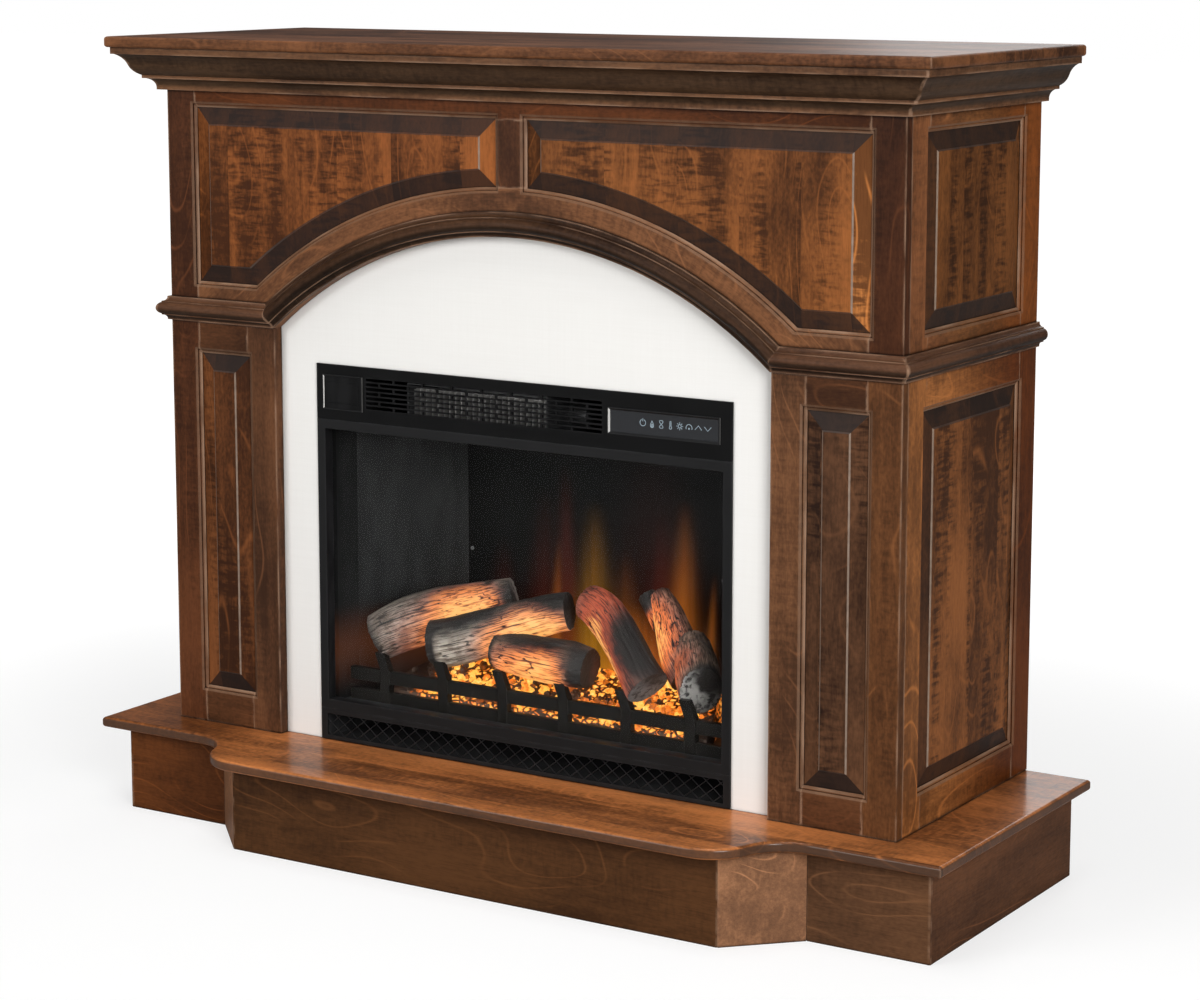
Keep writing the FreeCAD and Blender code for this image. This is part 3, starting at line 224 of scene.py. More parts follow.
# %% World
ROOM_LIGHT = 0.12
MIRRORED_LIGHT = 0.03

world = bpy.data.worlds.new("studio")
world.use_nodes = True
scene.world = world
wiring = Wiring(world.node_tree)
ray = wiring.node("LightPath").outputs
heading = wiring.split(wiring.node("TexCoord").outputs["Generated"])
behind = wiring.step(heading[1], 0.0, 0.5)
mirrored = wiring.math("MULTIPLY_ADD", ray["Is Glossy Ray"], MIRRORED_LIGHT, ray["Is Transmission Ray"])
seen = wiring.math("MULTIPLY_ADD", mirrored, behind, ray["Is Camera Ray"])
room = world.node_tree.nodes["Background"]
wiring.fill(room, {"Color": (1.0, 0.98, 0.95), "Strength": ROOM_LIGHT})
backdrop = wiring.node("Background", {"Color": grey(1), "Strength": 1.0})
both = wiring.node("MixShader", {0: seen, 1: room.outputs[0], 2: backdrop.outputs[0]})
wiring.fill(world.node_tree.nodes["World Output"], {"Surface": both.outputs[0]})
print("room light:", ROOM_LIGHT)

# %% [markdown]
# ## Meshes from arrays
# A new piece is an array of points on a grid: rows along it, columns across or around it. The faces are
# the grid's own squares, joined end to end where the grid closes on itself, with a fan of triangles at
# each end of a tube. Values for the finish, such as heat or char, are stored with the points. Whole arrays
# are quicker than edits in Blender's own mesh tools, and the shape can be read from its formula.

# %% Mesh helpers
def grid_faces(rows, columns, close_rows=False, close_columns=False, first=0):
    """Squares of a grid of points, counted row by row from the first point."""
    row = np.arange(rows if close_rows else rows - 1)[:, None]
    column = np.arange(columns if close_columns else columns - 1)[None, :]
    next_row = (row + 1) % rows
    next_column = (column + 1) % columns
    corners = (row * columns + column, row * columns + next_column,
               next_row * columns + next_column, next_row * columns + column)
    return np.stack(np.broadcast_arrays(*corners), axis=-1).reshape(-1, 4) + first


def tube_faces(rows, columns):
    """Squares and end fans of a tube whose points are one pole, the rows around it, and the other pole."""
    column = np.arange(columns)
    beside = (column + 1) % columns
    ring = 1 + (rows - 1) * columns
    fan_first = np.stack([np.zeros_like(column), 1 + beside, 1 + column], axis=-1)
    fan_last = np.stack([ring + column, ring + beside, np.full_like(column, ring + columns)], axis=-1)
    return grid_faces(rows, columns, close_columns=True, first=1), np.concatenate([fan_first, fan_last])


def surface(name, points, faces, material):
    """A mesh object with one finish, in the scene."""
    mesh = bpy.data.meshes.new(name)
    mesh.from_pydata(points.reshape(-1, 3).tolist(), [], faces)
    mesh.materials.append(material)
    made = bpy.data.objects.new(name, mesh)
    scene.collection.objects.link(made)
    return made


def piece(name, points, faces, material, marks=(), smooth=True):
    """A surface that rides on the fireplace, with marks stored for each point."""
    made = surface(name, points, faces, material)
    mesh = made.data
    for label, values in dict(marks).items():
        kind, field = ("FLOAT", "value") if values.ndim == 1 else ("FLOAT_VECTOR", "vector")
        mesh.attributes.new(label, kind, "POINT").data.foreach_set(field, np.ravel(values))
    mesh.polygons.foreach_set("use_smooth", np.full(len(mesh.polygons), smooth))
    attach(made, "fireplace")
    print(name, "faces:", len(mesh.polygons))
    return made


NOISE_CELLS = 32


def lattice_noise(points, seed):
    """Smooth noise from 0 to 1: random values on a unit lattice, blended by 3t^2 - 2t^3 in each cell."""
    table = np.random.default_rng(seed).random((NOISE_CELLS,) * 3)
    cell = np.floor(points).astype(int)
    part = points - cell
    ease = part * part * (3 - 2 * part)
    total = np.zeros(points.shape[:-1])
    for corner in itertools.product((0, 1), repeat=3):
        index = (cell + corner) % NOISE_CELLS
        weight = np.prod(np.where(corner, ease, 1 - ease), axis=-1)
        total += weight * table[index[..., 0], index[..., 1], index[..., 2]]
    return total


print("mesh helpers ready, noise table:", NOISE_CELLS, "cells a side")

# %% [markdown]
# ## Floor
# A plain pale floor carries the soft shadow. To the camera, and in reflections, it is lifted towards
# white, as the studio sweep in the photograph is: less near the fireplace, so that its shadow stays.

# %% Floor
FLOOR_HALF = 30.0
FLOOR_MIRRORED = 0.12
NEAR_LIFT = 0.68
FAR_LIFT = 0.35
LIFT_RING = (1.1, 3.2)

material, wiring, shader, place = finish("studio_floor")
mottle = wiring.noise(place, (0.6, 0.6, 0.6))
wiring.fill(shader, {
    "Base Color": wiring.blend(mottle, grey(0.34), grey(0.36)), "Roughness": 0.9,
    "Specular IOR Level": 0.1})
ray = wiring.node("LightPath").outputs
mirrored = wiring.math("ADD", ray["Is Glossy Ray"], ray["Is Transmission Ray"])
seen = wiring.math("MULTIPLY_ADD", mirrored, FLOOR_MIRRORED, ray["Is Camera Ray"])
distance = wiring.node("VectorMath", {0: place}, operation="LENGTH").outputs["Value"]
glow = wiring.math("MULTIPLY_ADD", wiring.step(distance, *LIFT_RING), FAR_LIFT, NEAR_LIFT)
lift = wiring.node("Emission", {"Color": grey(1), "Strength": wiring.times(seen, glow)})
both = wiring.node("AddShader", {0: shader.outputs[0], 1: lift.outputs[0]})
wiring.fill(material.node_tree.nodes["Material Output"], {"Surface": both.outputs[0]})

side = np.linspace(-FLOOR_HALF, FLOOR_HALF, 3)
across, along = np.meshgrid(side, side)
points = np.stack([across, along, np.zeros_like(across)], axis=-1)
floor = surface("floor", points, grid_faces(3, 3).tolist(), material)
print("floor side:", 2 * FLOOR_HALF, "m")

# %% [markdown]
# ## Maple grain
# The wood is maple with a brown stain. It shows broad and narrow streaks of stain along the grain, soft
# blotches, a fine mottle, dark ripples across the grain in curly bands, and thin pale growth lines that
# close into arches. A picture of wood would repeat from board to board, so each of these is noise
# stretched along the grain. Wide boards are glued up from staves of uneven width, and each stave takes the
# tone of the nearest of a row of scattered points.

# %% Grain group
# stretch along each axis, detail and share in the tone, from broad streaks to the fine mottle
GRAIN_LAYERS = (
    ((7, 7, 3.5), 3.0, 1.5), ((14, 14, 1.0), 2.0, 0.9), ((75, 75, 4.0), 2.0, 0.45),
    ((60, 60, 26), 2.0, 0.35), ((210, 210, 110), 2.0, 0.65))
STAVE_SHIFT = (7.0, 19.0)
RING_COUNT = 13.0
RING_SHARPNESS = 40.0

wiring, given, result = effect(
    "maple_grain",
    {"place": "vector", "light": "colour", "dark": "colour", "pale": "colour", "stave": "value",
     "uneven": "value", "figure": "value", "rings": "value"},
    {"colour": "colour", "roughness": "value", "height": "value"})
across = wiring.split(given["place"])[0]
stave = wiring.node("TexVoronoi", {"W": wiring.math("DIVIDE", across, given["stave"]), "Scale": 1.0},
                    voronoi_dimensions="1D")
tone = wiring.split(stave.outputs["Color"])[0]
shift = wiring.merge(0.0, *(wiring.times(tone, part) for part in STAVE_SHIFT))
place = wiring.vector("ADD", given["place"], shift)
level = wiring.math("MULTIPLY_ADD", wiring.math("SUBTRACT", tone, 0.5), given["uneven"], 0.5)
for stretch, detail, share in GRAIN_LAYERS:
    layer = wiring.math("SUBTRACT", wiring.noise(place, stretch, detail), 0.5)
    level = wiring.math("MULTIPLY_ADD", layer, share, level)
ripple = wiring.step(wiring.noise(place, (24, 24, 120), 2.0, 0.4), 0.38, 0.72)
curly = wiring.step(wiring.noise(place, (19, 19, 1.5), 1.0), 0.40, 0.62)
curl = wiring.times(ripple, curly, given["figure"])
level = wiring.step(wiring.math("SUBTRACT", level, curl), -0.05, 1.05)

phase = wiring.times(wiring.noise(place, (7, 7, 2.4), 1.0), RING_COUNT * math.tau)
wave = wiring.math("MULTIPLY_ADD", wiring.math("SINE", phase), 0.5, 0.5)
patchy = wiring.step(wiring.noise(place, (11, 11, 6), 1.0), 0.44, 0.60)
ring = wiring.times(wiring.math("POWER", wave, RING_SHARPNESS), patchy)
fibre = wiring.noise(place, (620, 620, 30), 2.0)

stained = wiring.blend(level, given["dark"], given["light"])
stained = wiring.blend(wiring.times(ring, given["rings"]), stained, given["pale"])
stained = wiring.blend(wiring.times(wiring.step(fibre, 0.45, 0.75), 0.40), stained,
                       (0.46, 0.42, 0.42), "MULTIPLY")
wiring.fill(result, {
    "colour": stained, "roughness": wiring.between(fibre, 0.36, 0.52),
    "height": wiring.math("MULTIPLY_ADD", ring, 0.3, fibre)})
print("grain group nodes:", len(wiring.tree.nodes))

# %% [markdown]
# ## Painted shade and paler edges
# Dark glaze was wiped over the mouldings, and the corners and the joints between pieces are darkened further
# as painted shade. The edges are paler: partly rubbed through to a paler brown, partly a painted highlight.
# Ambient occlusion finds the corners. The same node, turned to look inside the wood, finds the outer edges,
# because just under an edge the next face is near.

# %% Glaze with painted shade, and paler edge groups
CORNER_SHADE_REACH = 0.007
PALE_EDGE_REACH = 0.004

wiring, given, result = effect(
    "corner_glaze_and_shade", {"colour": "colour", "depth": "value"}, {"colour": "colour"})
# painted shade: the colour is darkened towards a dark brown where ambient occlusion is low, in corners and
# joints
hollow = wiring.node("AmbientOcclusion", {"Distance": CORNER_SHADE_REACH}, samples=8).outputs["AO"]
shade = wiring.times(wiring.step(hollow, 0.92, 0.42), given["depth"])
glazed_and_shaded = wiring.blend(shade, given["colour"], (0.08, 0.065, 0.06), "MULTIPLY")
wiring.fill(result, {"colour": glazed_and_shaded})

wiring, given, result = effect(
    "rubbed_edge", {"place": "vector", "colour": "colour", "rubbed": "colour", "amount": "value"},
    {"colour": "colour"})
# paler convex edges: partly wear, partly a painted highlight where the edges catch the light
inner = wiring.node("AmbientOcclusion", {"Distance": PALE_EDGE_REACH}, samples=6, inside=True, only_local=True)
edge = wiring.step(inner.outputs["AO"], 0.93, 0.55)
patchy = wiring.step(wiring.noise(given["place"], (40, 40, 11), 3.0), 0.36, 0.62)
rubbed = wiring.times(edge, patchy, given["amount"])
wiring.fill(result, {"colour": wiring.blend(rubbed, given["colour"], given["rubbed"])})
print("glaze and wear groups:", [group.name for group in bpy.data.node_groups])

# %% [markdown]
# Each carved face gets a colour of its own, and which face is which shows in its normal. The bevels of a
# raised panel that slope up or down are end grain, which drank the stain, and they are made nearly black,
# partly as painted shade; the front bevels of the side panels are darkened as painted shade alone. Steep
# slopes, such as the beads round a frame's opening and the upright shoulders of a panel's field, are paler:
# partly rubbed, partly a painted highlight. The level shoulders of a panel's field are made dark grey. The
# undersides of the mouldings are darkened and greyed as painted shade. The top of the shelf is painted paler
# and greyer than its edges, a painted sheen, and the rim of the slab is darker than its top.

# %% Carved faces group
wiring, given, result = effect(
    "carved_faces", {"place": "vector", "facing": "value", "up": "value", "ahead": "value"},
    {"bevel": "value", "slope": "value", "upright_slope": "value", "under": "value", "top": "value",
     "rim": "value"})
facing = wiring.math("ABSOLUTE", given["facing"])
tilt = wiring.math("ABSOLUTE", given["up"])
steep = wiring.step(facing, 0.93, 0.87)
worn = wiring.between(wiring.noise(given["place"], (45, 45, 70), 2.0), 0.3, 1.3)
slope = wiring.times(steep, wiring.step(facing, 0.20, 0.35), worn)
# painted shade: the front bevels of the side panels are made dark
painted_front_bevel_shade = wiring.times(wiring.step(given["ahead"], -0.06, -0.15), 0.8)
bevel = wiring.math("MAXIMUM", wiring.step(tilt, 0.06, 0.15), painted_front_bevel_shade)
# under is painted shade on faces that look down; top is a painted sheen on faces that look up
wiring.fill(result, {
    "bevel": wiring.times(bevel, wiring.math("SUBTRACT", 1.0, steep)), "slope": slope,
    "upright_slope": wiring.times(slope, wiring.step(tilt, 0.55, 0.25)),
    "under": wiring.step(given["up"], 0.05, -0.45), "top": wiring.step(given["up"], 0.4, 0.8),
    "rim": wiring.step(tilt, 0.7, 0.3)})
print("carved faces group nodes:", len(wiring.tree.nodes))

# %% [markdown]
# ## The wooden pieces
# One function makes a maple finish for one piece: which way its grain runs, the tone of its stain, how wide
# its staves are, how curly it is, how it is carved, and a seed that moves it to another part of the tree.
# One finish for all the wood would be shorter, but then the grain would run through every joint.

# %% Maple finish
GRAIN_AXES = {"z": (0, 1, 2), "z_side": (1, 0, 2), "x": (2, 1, 0), "x_flat": (1, 2, 0), "y": (2, 0, 1)}
SEED_SHIFT = (0.13, 1.7, 2.9)
SOLID_BOARD = 10.0
STREAK_LIGHT = (1.75, 1.70, 1.60)
STREAK_DARK = (0.30, 0.29, 0.33)
PALE_RING = (2.10, 2.00, 1.85)
# the tone of the paler edges: partly wear, partly painted highlight
PALE_EDGE_TONE = (0.30, 0.18, 0.115)
SIDE_RAILS = (-0.067, 0.277)
ARCH_UP = 0.3319
ARCH_RADIUS = 0.788
# what each carved face is blended to: panel bevels nearly black (end-grain stain and painted shade), level
# panel shoulders dark grey, upright panel shoulders and frame beads paler (wear and painted highlight),
# moulding undersides darker and greyer (painted shade), shelf top paler and greyer (painted sheen), slab rim
# darker
CARVED = {
    "board": (),
    "frame": (("slope", 0.60, (0.20, 0.115, 0.070), "MIX"),),
    "panel": (("bevel", 0.84, (0.018, 0.013, 0.0115), "MIX"),
              ("slope", 0.80, (0.055, 0.047, 0.043), "MIX"),
              ("upright_slope", 0.85, (0.30, 0.22, 0.165), "MIX")),
    "moulding": (("under", 0.92, (0.34, 0.41, 0.47), "MULTIPLY"),),
    "shelf": (("top", 1.0, (1.10, 1.22, 1.60), "MULTIPLY"),),
    "slab": (("rim", 0.85, (0.062, 0.032, 0.019), "MIX"),)}


def grain_place(wiring, place, along, seed):
    """Object coordinates turned so that the third part runs along the grain."""
    parts = wiring.split(place)
    axes = {way: [parts[axis] for axis in order] for way, order in GRAIN_AXES.items()}
    if along == "angle":
        run = wiring.math("ADD", wiring.math("ABSOLUTE", parts[0]), parts[1])
        turned = wiring.merge(parts[2], parts[1], wiring.times(run, math.sqrt(0.5)))
    elif along == "arch":
        rise = wiring.math("SUBTRACT", parts[2], ARCH_UP)
        square = wiring.math("ADD", wiring.times(parts[0], parts[0]), wiring.times(rise, rise))
        turn = wiring.times(wiring.math("ARCTAN2", parts[0], rise), ARCH_RADIUS)
        turned = wiring.merge(wiring.math("SQRT", square), parts[1], turn)
    elif along == "side_frame":
        in_rail = wiring.times(wiring.math("GREATER_THAN", parts[1], SIDE_RAILS[0]),
                               wiring.math("LESS_THAN", parts[1], SIDE_RAILS[1]))
        ways = {0: in_rail, 4: wiring.merge(*axes["z_side"]), 5: wiring.merge(*axes["y"])}
        turned = wiring.node("Mix", ways, data_type="VECTOR", factor_mode="UNIFORM").outputs[1]
    else:
        turned = wiring.merge(*axes[along])
    return wiring.vector("ADD", turned, tuple(seed * part for part in SEED_SHIFT))


def maple(name, along, tone, seed, carved="board", face=1, stave=SOLID_BOARD, uneven=0.0, figure=0.2,
          rings=0.4, wear_and_highlight=0.5, coat=0.0, fades=(), contrast=1.0):
    """A stained and lacquered maple finish for one piece, around one tone of the stain.

    Fades make parts of it lighter or darker.
    """
    material, wiring, shader, place = finish(name)
    light = tone * (1 + contrast * np.subtract(STREAK_LIGHT, 1))
    dark = tone * (1 + contrast * np.subtract(STREAK_DARK, 1))
    pale = np.multiply(tone, PALE_RING)
    turned = grain_place(wiring, place, along, seed)
    grain = use(wiring, "maple_grain", place=turned, light=light, dark=dark, pale=pale, stave=stave,
                uneven=uneven, figure=figure, rings=rings)
    tint = grain["colour"]
    for ramps, factor in fades:
        mask = wiring.times(*(wiring.step(wiring.split(place)[axis], low, high) for axis, low, high in ramps))
        tint = wiring.blend(mask, tint, factor, "MULTIPLY")
    if CARVED[carved]:
        normal = wiring.split(wiring.node("NewGeometry").outputs["Normal"])
        faces = use(wiring, "carved_faces", place=turned, facing=normal[face], up=normal[2],
                    ahead=0.0 if face else normal[1])
        for label, share, stain, mode in CARVED[carved]:
            tint = wiring.blend(wiring.times(faces[label], share), tint, stain, mode)
    # paler edges, partly wear and partly painted highlight; then glaze with painted shade in corners and
    # joints
    tint = use(wiring, "rubbed_edge", place=turned, colour=tint, rubbed=PALE_EDGE_TONE, amount=wear_and_highlight)["colour"]
    tint = use(wiring, "corner_glaze_and_shade", colour=tint, depth=1.0)["colour"]
    wiring.fill(shader, {
        "Base Color": tint, "Roughness": grain["roughness"], "Specular IOR Level": 0.08,
        "Coat Weight": coat, "Coat Roughness": 0.16,
        "Normal": wiring.relief(grain["height"], 0.25, 0.0004)})
    return material


def dress(material, *names):
    """Put a finish on CAD solids."""
    for name in names:
        for slot in nodes[name].material_slots:
            slot.link = "OBJECT"
            slot.material = material


print("grain directions:", ", ".join(GRAIN_AXES))

# %% [markdown]
# Real edges are never razor sharp, and an eased edge catches the light. The CAD solids keep their meshes,
# so a Weld modifier first joins their loose triangles and a Bevel modifier then eases the corners.

# %% Eased edges
WELD_REACH = 0.00005
SHARP_ANGLE = 35


def ease(width, *names):
    """Round the sharp edges of CAD solids by a small width."""
    for name in names:
        weld = nodes[name].modifiers.new("weld", "WELD")
        weld.merge_threshold = WELD_REACH
        bevel = nodes[name].modifiers.new("eased_edges", "BEVEL")
        bevel.width = width
        bevel.segments = 2
        bevel.limit_method = "ANGLE"
        bevel.angle_limit = math.radians(SHARP_ANGLE)
        bevel.harden_normals = True


FLAT_BOARDS = ("plinth_sides", "plinth_wings", "plinth_angles", "plinth_center", "back_rails", "glue_blocks")
ease(0.0012, *FLAT_BOARDS)
print("eased boards:", len(FLAT_BOARDS))

# %% [markdown]
# The boards of the frame and the plinth were stained one by one, so each has a tone of its own, and some get
# lighter or darker along their length or from the left of the mantel to the right; the right stiles are made
# lighter partly as painted light, for the stronger light at the right. A fade does that: one or more ramps,
# each an axis and where it starts and ends, and what the stain is multiplied by where all of them are 1.

# %% Frame boards
RIGHT = (0, -0.1, 0.1)
BACK = (1, -0.08, 0.28)
ABOVE_BELT = (2, 0.90, 0.94)
# RIGHT ramps make the right front stile and the right pilaster stile lighter, partly as painted light from
# the right
STILE_FADES = (((RIGHT,), (1.39, 1.61, 1.51)), ((RIGHT, ABOVE_BELT), (0.47, 0.40, 0.43)))
SIDE_FADES = (((BACK,), (0.30, 0.20, 0.125)), ((ABOVE_BELT,), (0.60, 0.60, 0.77)),
              ((BACK, ABOVE_BELT), (3.1, 3.5, 2.8)))
SIDE_FRAME = ("side_frame", (0.300, 0.114, 0.0345), SIDE_FADES)
FRAMES = {
    "front_stiles": ("z", (0.0855, 0.0290, 0.0112), STILE_FADES),
    "pilaster_stiles": ("z", (0.0964, 0.0407, 0.0185), (((RIGHT,), (1.3, 1.35, 1.35)),)),
    "center_mullion": ("z", (0.075, 0.028, 0.012), ()),
    "pilaster_rails": ("x", (0.085, 0.033, 0.0135), ()),
    "top_rail": ("x", (0.085, 0.025, 0.0065), ()),
    "arch_rail": ("arch", (0.157, 0.066, 0.0285), ()),
    "side_frame_left": SIDE_FRAME,
    "side_frame_right": SIDE_FRAME}
PLINTH = {
    "plinth_wings": ("x", (0.105, 0.033, 0.0090), (((RIGHT,), (0.92, 1.36, 2.35)),)),
    "plinth_center": ("x", (0.070, 0.029, 0.0106), ()),
    "plinth_angles": ("angle", (0.295, 0.142, 0.072), ()),
    "plinth_sides": ("y", (0.102, 0.041, 0.0174), ())}
for seed, (name, (along, tone, fades)) in enumerate(FRAMES.items(), start=1):
    dress(maple(name, along, tone, seed, "frame", 0 if along == "side_frame" else 1, rings=0.5, wear_and_highlight=0.9,
                fades=fades, contrast=0.8), name)
for seed, (name, (along, tone, fades)) in enumerate(PLINTH.items(), start=12):
    dress(maple(name, along, tone, seed, rings=0.7, fades=fades, contrast=0.6), name)
print("framed boards:", len(FRAMES), "plinth boards:", len(PLINTH))

# %% [markdown]
# The raised panels are the liveliest wood, with staves of different tones and the most curl. Their grain
# stands upright. The right end of the right frieze panel, with its bevel, is painted paler as a painted
# highlight, where it faces the key light.

# %% Raised panels
UPPER_SIDE = (0.126, 0.0455, 0.0127)
LOWER_SIDE = (0.170, 0.0620, 0.0195)
PANELS = {
    "pilaster_panel_left": (0.128, 0.0445, 0.0147), "pilaster_panel_right": (0.0710, 0.0322, 0.0160),
    "frieze_panel_left": (0.182, 0.059, 0.0159), "frieze_panel_right": (0.167, 0.058, 0.0160),
    "side_panel_upper_left": UPPER_SIDE, "side_panel_upper_right": UPPER_SIDE,
    "side_panel_lower_left": LOWER_SIDE, "side_panel_lower_right": LOWER_SIDE}
# painted highlight: the right end of the right frieze panel is made paler
PANEL_PAINTED_HIGHLIGHT = {"frieze_panel_right": ((((0, 0.626, 0.632),), (2.6, 2.8, 2.8)),)}
for seed, (name, tone) in enumerate(PANELS.items(), start=20):
    along, face = ("z_side", 0) if name.startswith("side") else ("z", 1)
    dress(maple(name, along, tone, seed, "panel", face, stave=0.11, uneven=0.5, figure=0.5, wear_and_highlight=0.0,
                fades=PANEL_PAINTED_HIGHLIGHT.get(name, ())), name)
print("raised panels:", len(PANELS))

# %% [markdown]
# The mouldings are plain lengths of wood with much glaze. The shelf and the slab are glued up from staves
# that lie flat, and the slab has a clear coat and a darker left wing. The rails and blocks at the back are
# bare wood.

# %% Mouldings, shelf and slab
CROWN = (0.130, 0.061, 0.0295)
BELT = (0.078, 0.036, 0.0195)
MOULDINGS = {
    "crown_front": ("x", CROWN), "crown_returns": ("y", CROWN), "belt_front_left": ("x", BELT),
    "belt_front_right": ("x", BELT), "belt_returns": ("y", BELT),
    "arch_moulding": ("arch", (0.048, 0.023, 0.0120))}
SLAB_FADES = ((((0, -0.45, -0.62),), (0.74, 0.69, 0.62)),)
for seed, (name, (along, tone)) in enumerate(MOULDINGS.items(), start=40):
    dress(maple(name, along, tone, seed, "moulding", rings=0.1, wear_and_highlight=0.8, contrast=0.8), name)
dress(maple("mantel_shelf", "x_flat", (0.122, 0.049, 0.0205), 50, "shelf", stave=0.11, uneven=0.3,
            wear_and_highlight=0.8), "mantel_shelf")
dress(maple("hearth_slab", "x_flat", (0.345, 0.123, 0.0380), 53, "slab", stave=0.10, uneven=0.2,
            coat=0.35, fades=SLAB_FADES), "hearth_slab")
dress(maple("inner_wood", "x", (0.28, 0.19, 0.11), 56, rings=0.8, wear_and_highlight=0.0), "back_rails", "glue_blocks")
print("mouldings:", len(MOULDINGS))

# %% [markdown]
# ## White surround
# The surround is a painted board with a satin sheen. Under the paint a fine straight texture just shows,
# so the finish has crossed lines of faint tone and relief.

# %% White board
material, wiring, shader, place = finish("white_board")
upright = wiring.noise(place, (320, 320, 6), 2.0)
level = wiring.noise(place, (6, 6, 320), 2.0)
weave = wiring.times(wiring.math("ADD", upright, level), 0.5)
cloudy = wiring.noise(place, (7, 7, 7), 3.0)
tint = wiring.blend(weave, (0.80, 0.785, 0.755), (0.865, 0.855, 0.83))
tint = wiring.blend(wiring.times(cloudy, 0.12), tint, (0.74, 0.72, 0.69))
# the corners of the white board are darkened a little as painted shade
wiring.fill(shader, {
    "Base Color": use(wiring, "corner_glaze_and_shade", colour=tint, depth=0.25)["colour"],
    "Roughness": wiring.between(cloudy, 0.42, 0.55), "Normal": wiring.relief(weave, 0.2, 0.0003)})
dress(material, "facing_panel")
ease(0.0008, "facing_panel")
print("white board on facing_panel")

# %% [markdown]
# ## Black metal of the insert
# The trim is sheet steel with satin black powder paint. Powder paint has a fine orange-peel relief, a few
# duller clouds and edges that are a little paler, partly rubbed and partly a painted highlight. The walls
# beside the fire get a low band of painted glow for the fire's light, since a real lamp there would light the
# whole box.

# %% Powder paint group
wiring, given, result = effect(
    "powder_paint", {"place": "vector", "paint": "colour", "edge": "colour"},
    {"colour": "colour", "roughness": "value", "height": "value"})
cloud = wiring.noise(given["place"], (14, 14, 14), 3.0)
tint = wiring.blend(wiring.times(cloud, 0.35), given["paint"], given["edge"])
# paler edges: partly wear, partly painted highlight
tint = use(wiring, "rubbed_edge", place=given["place"], colour=tint, rubbed=given["edge"], amount=0.8)
wiring.fill(result, {
    "colour": tint["colour"], "roughness": wiring.between(cloud, 0.34, 0.52),
    "height": wiring.noise(given["place"], (1600, 1600, 1600), 1.0)})
print("powder paint nodes:", len(wiring.tree.nodes))


# %% Black finishes
def black_metal(name, paint, edge, relief, gloss):
    """Powder-painted sheet in one tone."""
    material, wiring, shader, place = finish(name)
    coat = use(wiring, "powder_paint", place=place, paint=paint, edge=edge)
    wiring.fill(shader, {
        "Base Color": coat["colour"], "Roughness": coat["roughness"], "Specular IOR Level": gloss,
        "Normal": wiring.relief(coat["height"], relief, 0.0002)})
    return material


# paint, paler edge tone (wear and painted highlight), relief, gloss, and the solids that wear it
BLACKS = {
    "black_trim": ((0.0016, 0.0016, 0.0017), (0.009, 0.009, 0.0095), 0.06, 0.10,
                   ("top_fascia", "blank_plate")),
    "black_frame": ((0.004, 0.004, 0.0043), (0.017, 0.017, 0.018), 0.06, 0.2,
                    ("glass_frame", "lower_grille")),
    "black_sheet": ((0.014, 0.014, 0.015), (0.035, 0.035, 0.036), 0.08, 0.25,
                    ("insert_housing", "firebox_ceiling", "firebox_floor", "blower_housing")),
    "firebox_sheet": (grey(0.0055), grey(0.012), 0.08, 0.1, ("firebox_walls",)),
    "grate_iron": ((0.0045, 0.004, 0.0035), (0.012, 0.010, 0.008), 0.25, 0.1, ("log_grate",))}
for name, (*facts, solids) in BLACKS.items():
    dress(black_metal(name, *facts), *solids)

# painted light: a low band of warm glow on the firebox walls stands in for the fire lighting them
walls = bpy.data.materials["firebox_sheet"].node_tree
wiring = Wiring(walls)
up = wiring.split(wiring.node("TexCoord").outputs["Object"])[2]
painted_glow_band = wiring.times(wiring.step(up, 0.41, 0.32), wiring.step(up, 0.24, 0.34))
wiring.fill(walls.nodes["Principled BSDF"], {
    "Emission Color": wiring.blend(painted_glow_band, grey(0), (0.055, 0.015, 0.0045)),
    "Emission Strength": 1.0})
ease(0.0007, "top_fascia", "glass_frame", "lower_grille", "blank_plate", "firebox_walls")
ease(0.0025, "log_grate")
print("black finishes:", len(BLACKS))

# %% [markdown]
# ## Small machine parts
# Behind the vents and in the back are plain machine parts: bright steel, fan sheet, motor shells, lamp
# holders, a circuit board and a rubber gland. One function gives brushed metal or moulded plastic.

# %% Machine finishes
def machine(name, base, dull, metallic, roughness, stretch):
    """Metal or plastic with fine marks stretched along one axis."""
    material, wiring, shader, place = finish(name)
    marks = wiring.noise(place, stretch, 3.0)
    cloud = wiring.noise(place, (18, 18, 18), 2.0)
    clean = wiring.step(wiring.times(marks, cloud), 0.1, 0.45)
    wiring.fill(shader, {
        "Base Color": wiring.blend(clean, dull, base), "Metallic": metallic,
        "Roughness": wiring.between(marks, roughness - 0.08, roughness + 0.12),
        "Normal": wiring.relief(marks, 0.15, 0.0002)})
    return material


BRUSHED = (12, 500, 500)
MOULDED = (300, 300, 300)
# base, dull patches, metallic, roughness, stretch of the marks, and the solids that wear it
MACHINE = {
    "bright_steel": ((0.72, 0.71, 0.69), (0.45, 0.44, 0.43), 0.8, 0.32, BRUSHED,
                     ("heater_element",)),
    "fan_metal": ((0.55, 0.55, 0.54), grey(0.33), 0.9, 0.4, BRUSHED,
                  ("blower_wheel", "flicker_spindle")),
    "motor_shell": ((0.20, 0.20, 0.21), grey(0.10), 0.7, 0.45, MOULDED,
                    ("blower_motor", "flicker_motor", "screen_screws")),
    "lamp_white": ((0.80, 0.78, 0.72), (0.66, 0.64, 0.58), 0.0, 0.45, MOULDED, ("lamp_strip",)),
    "circuit": ((0.03, 0.16, 0.06), (0.015, 0.08, 0.03), 0.0, 0.4, MOULDED, ("control_board",)),
    "gland_rubber": (grey(0.018), grey(0.010), 0.0, 0.6, MOULDED, ("cord_gland",))}
for name, (*facts, solids) in MACHINE.items():
    dress(machine(name, *facts), *solids)
print("machine finishes:", len(MACHINE))

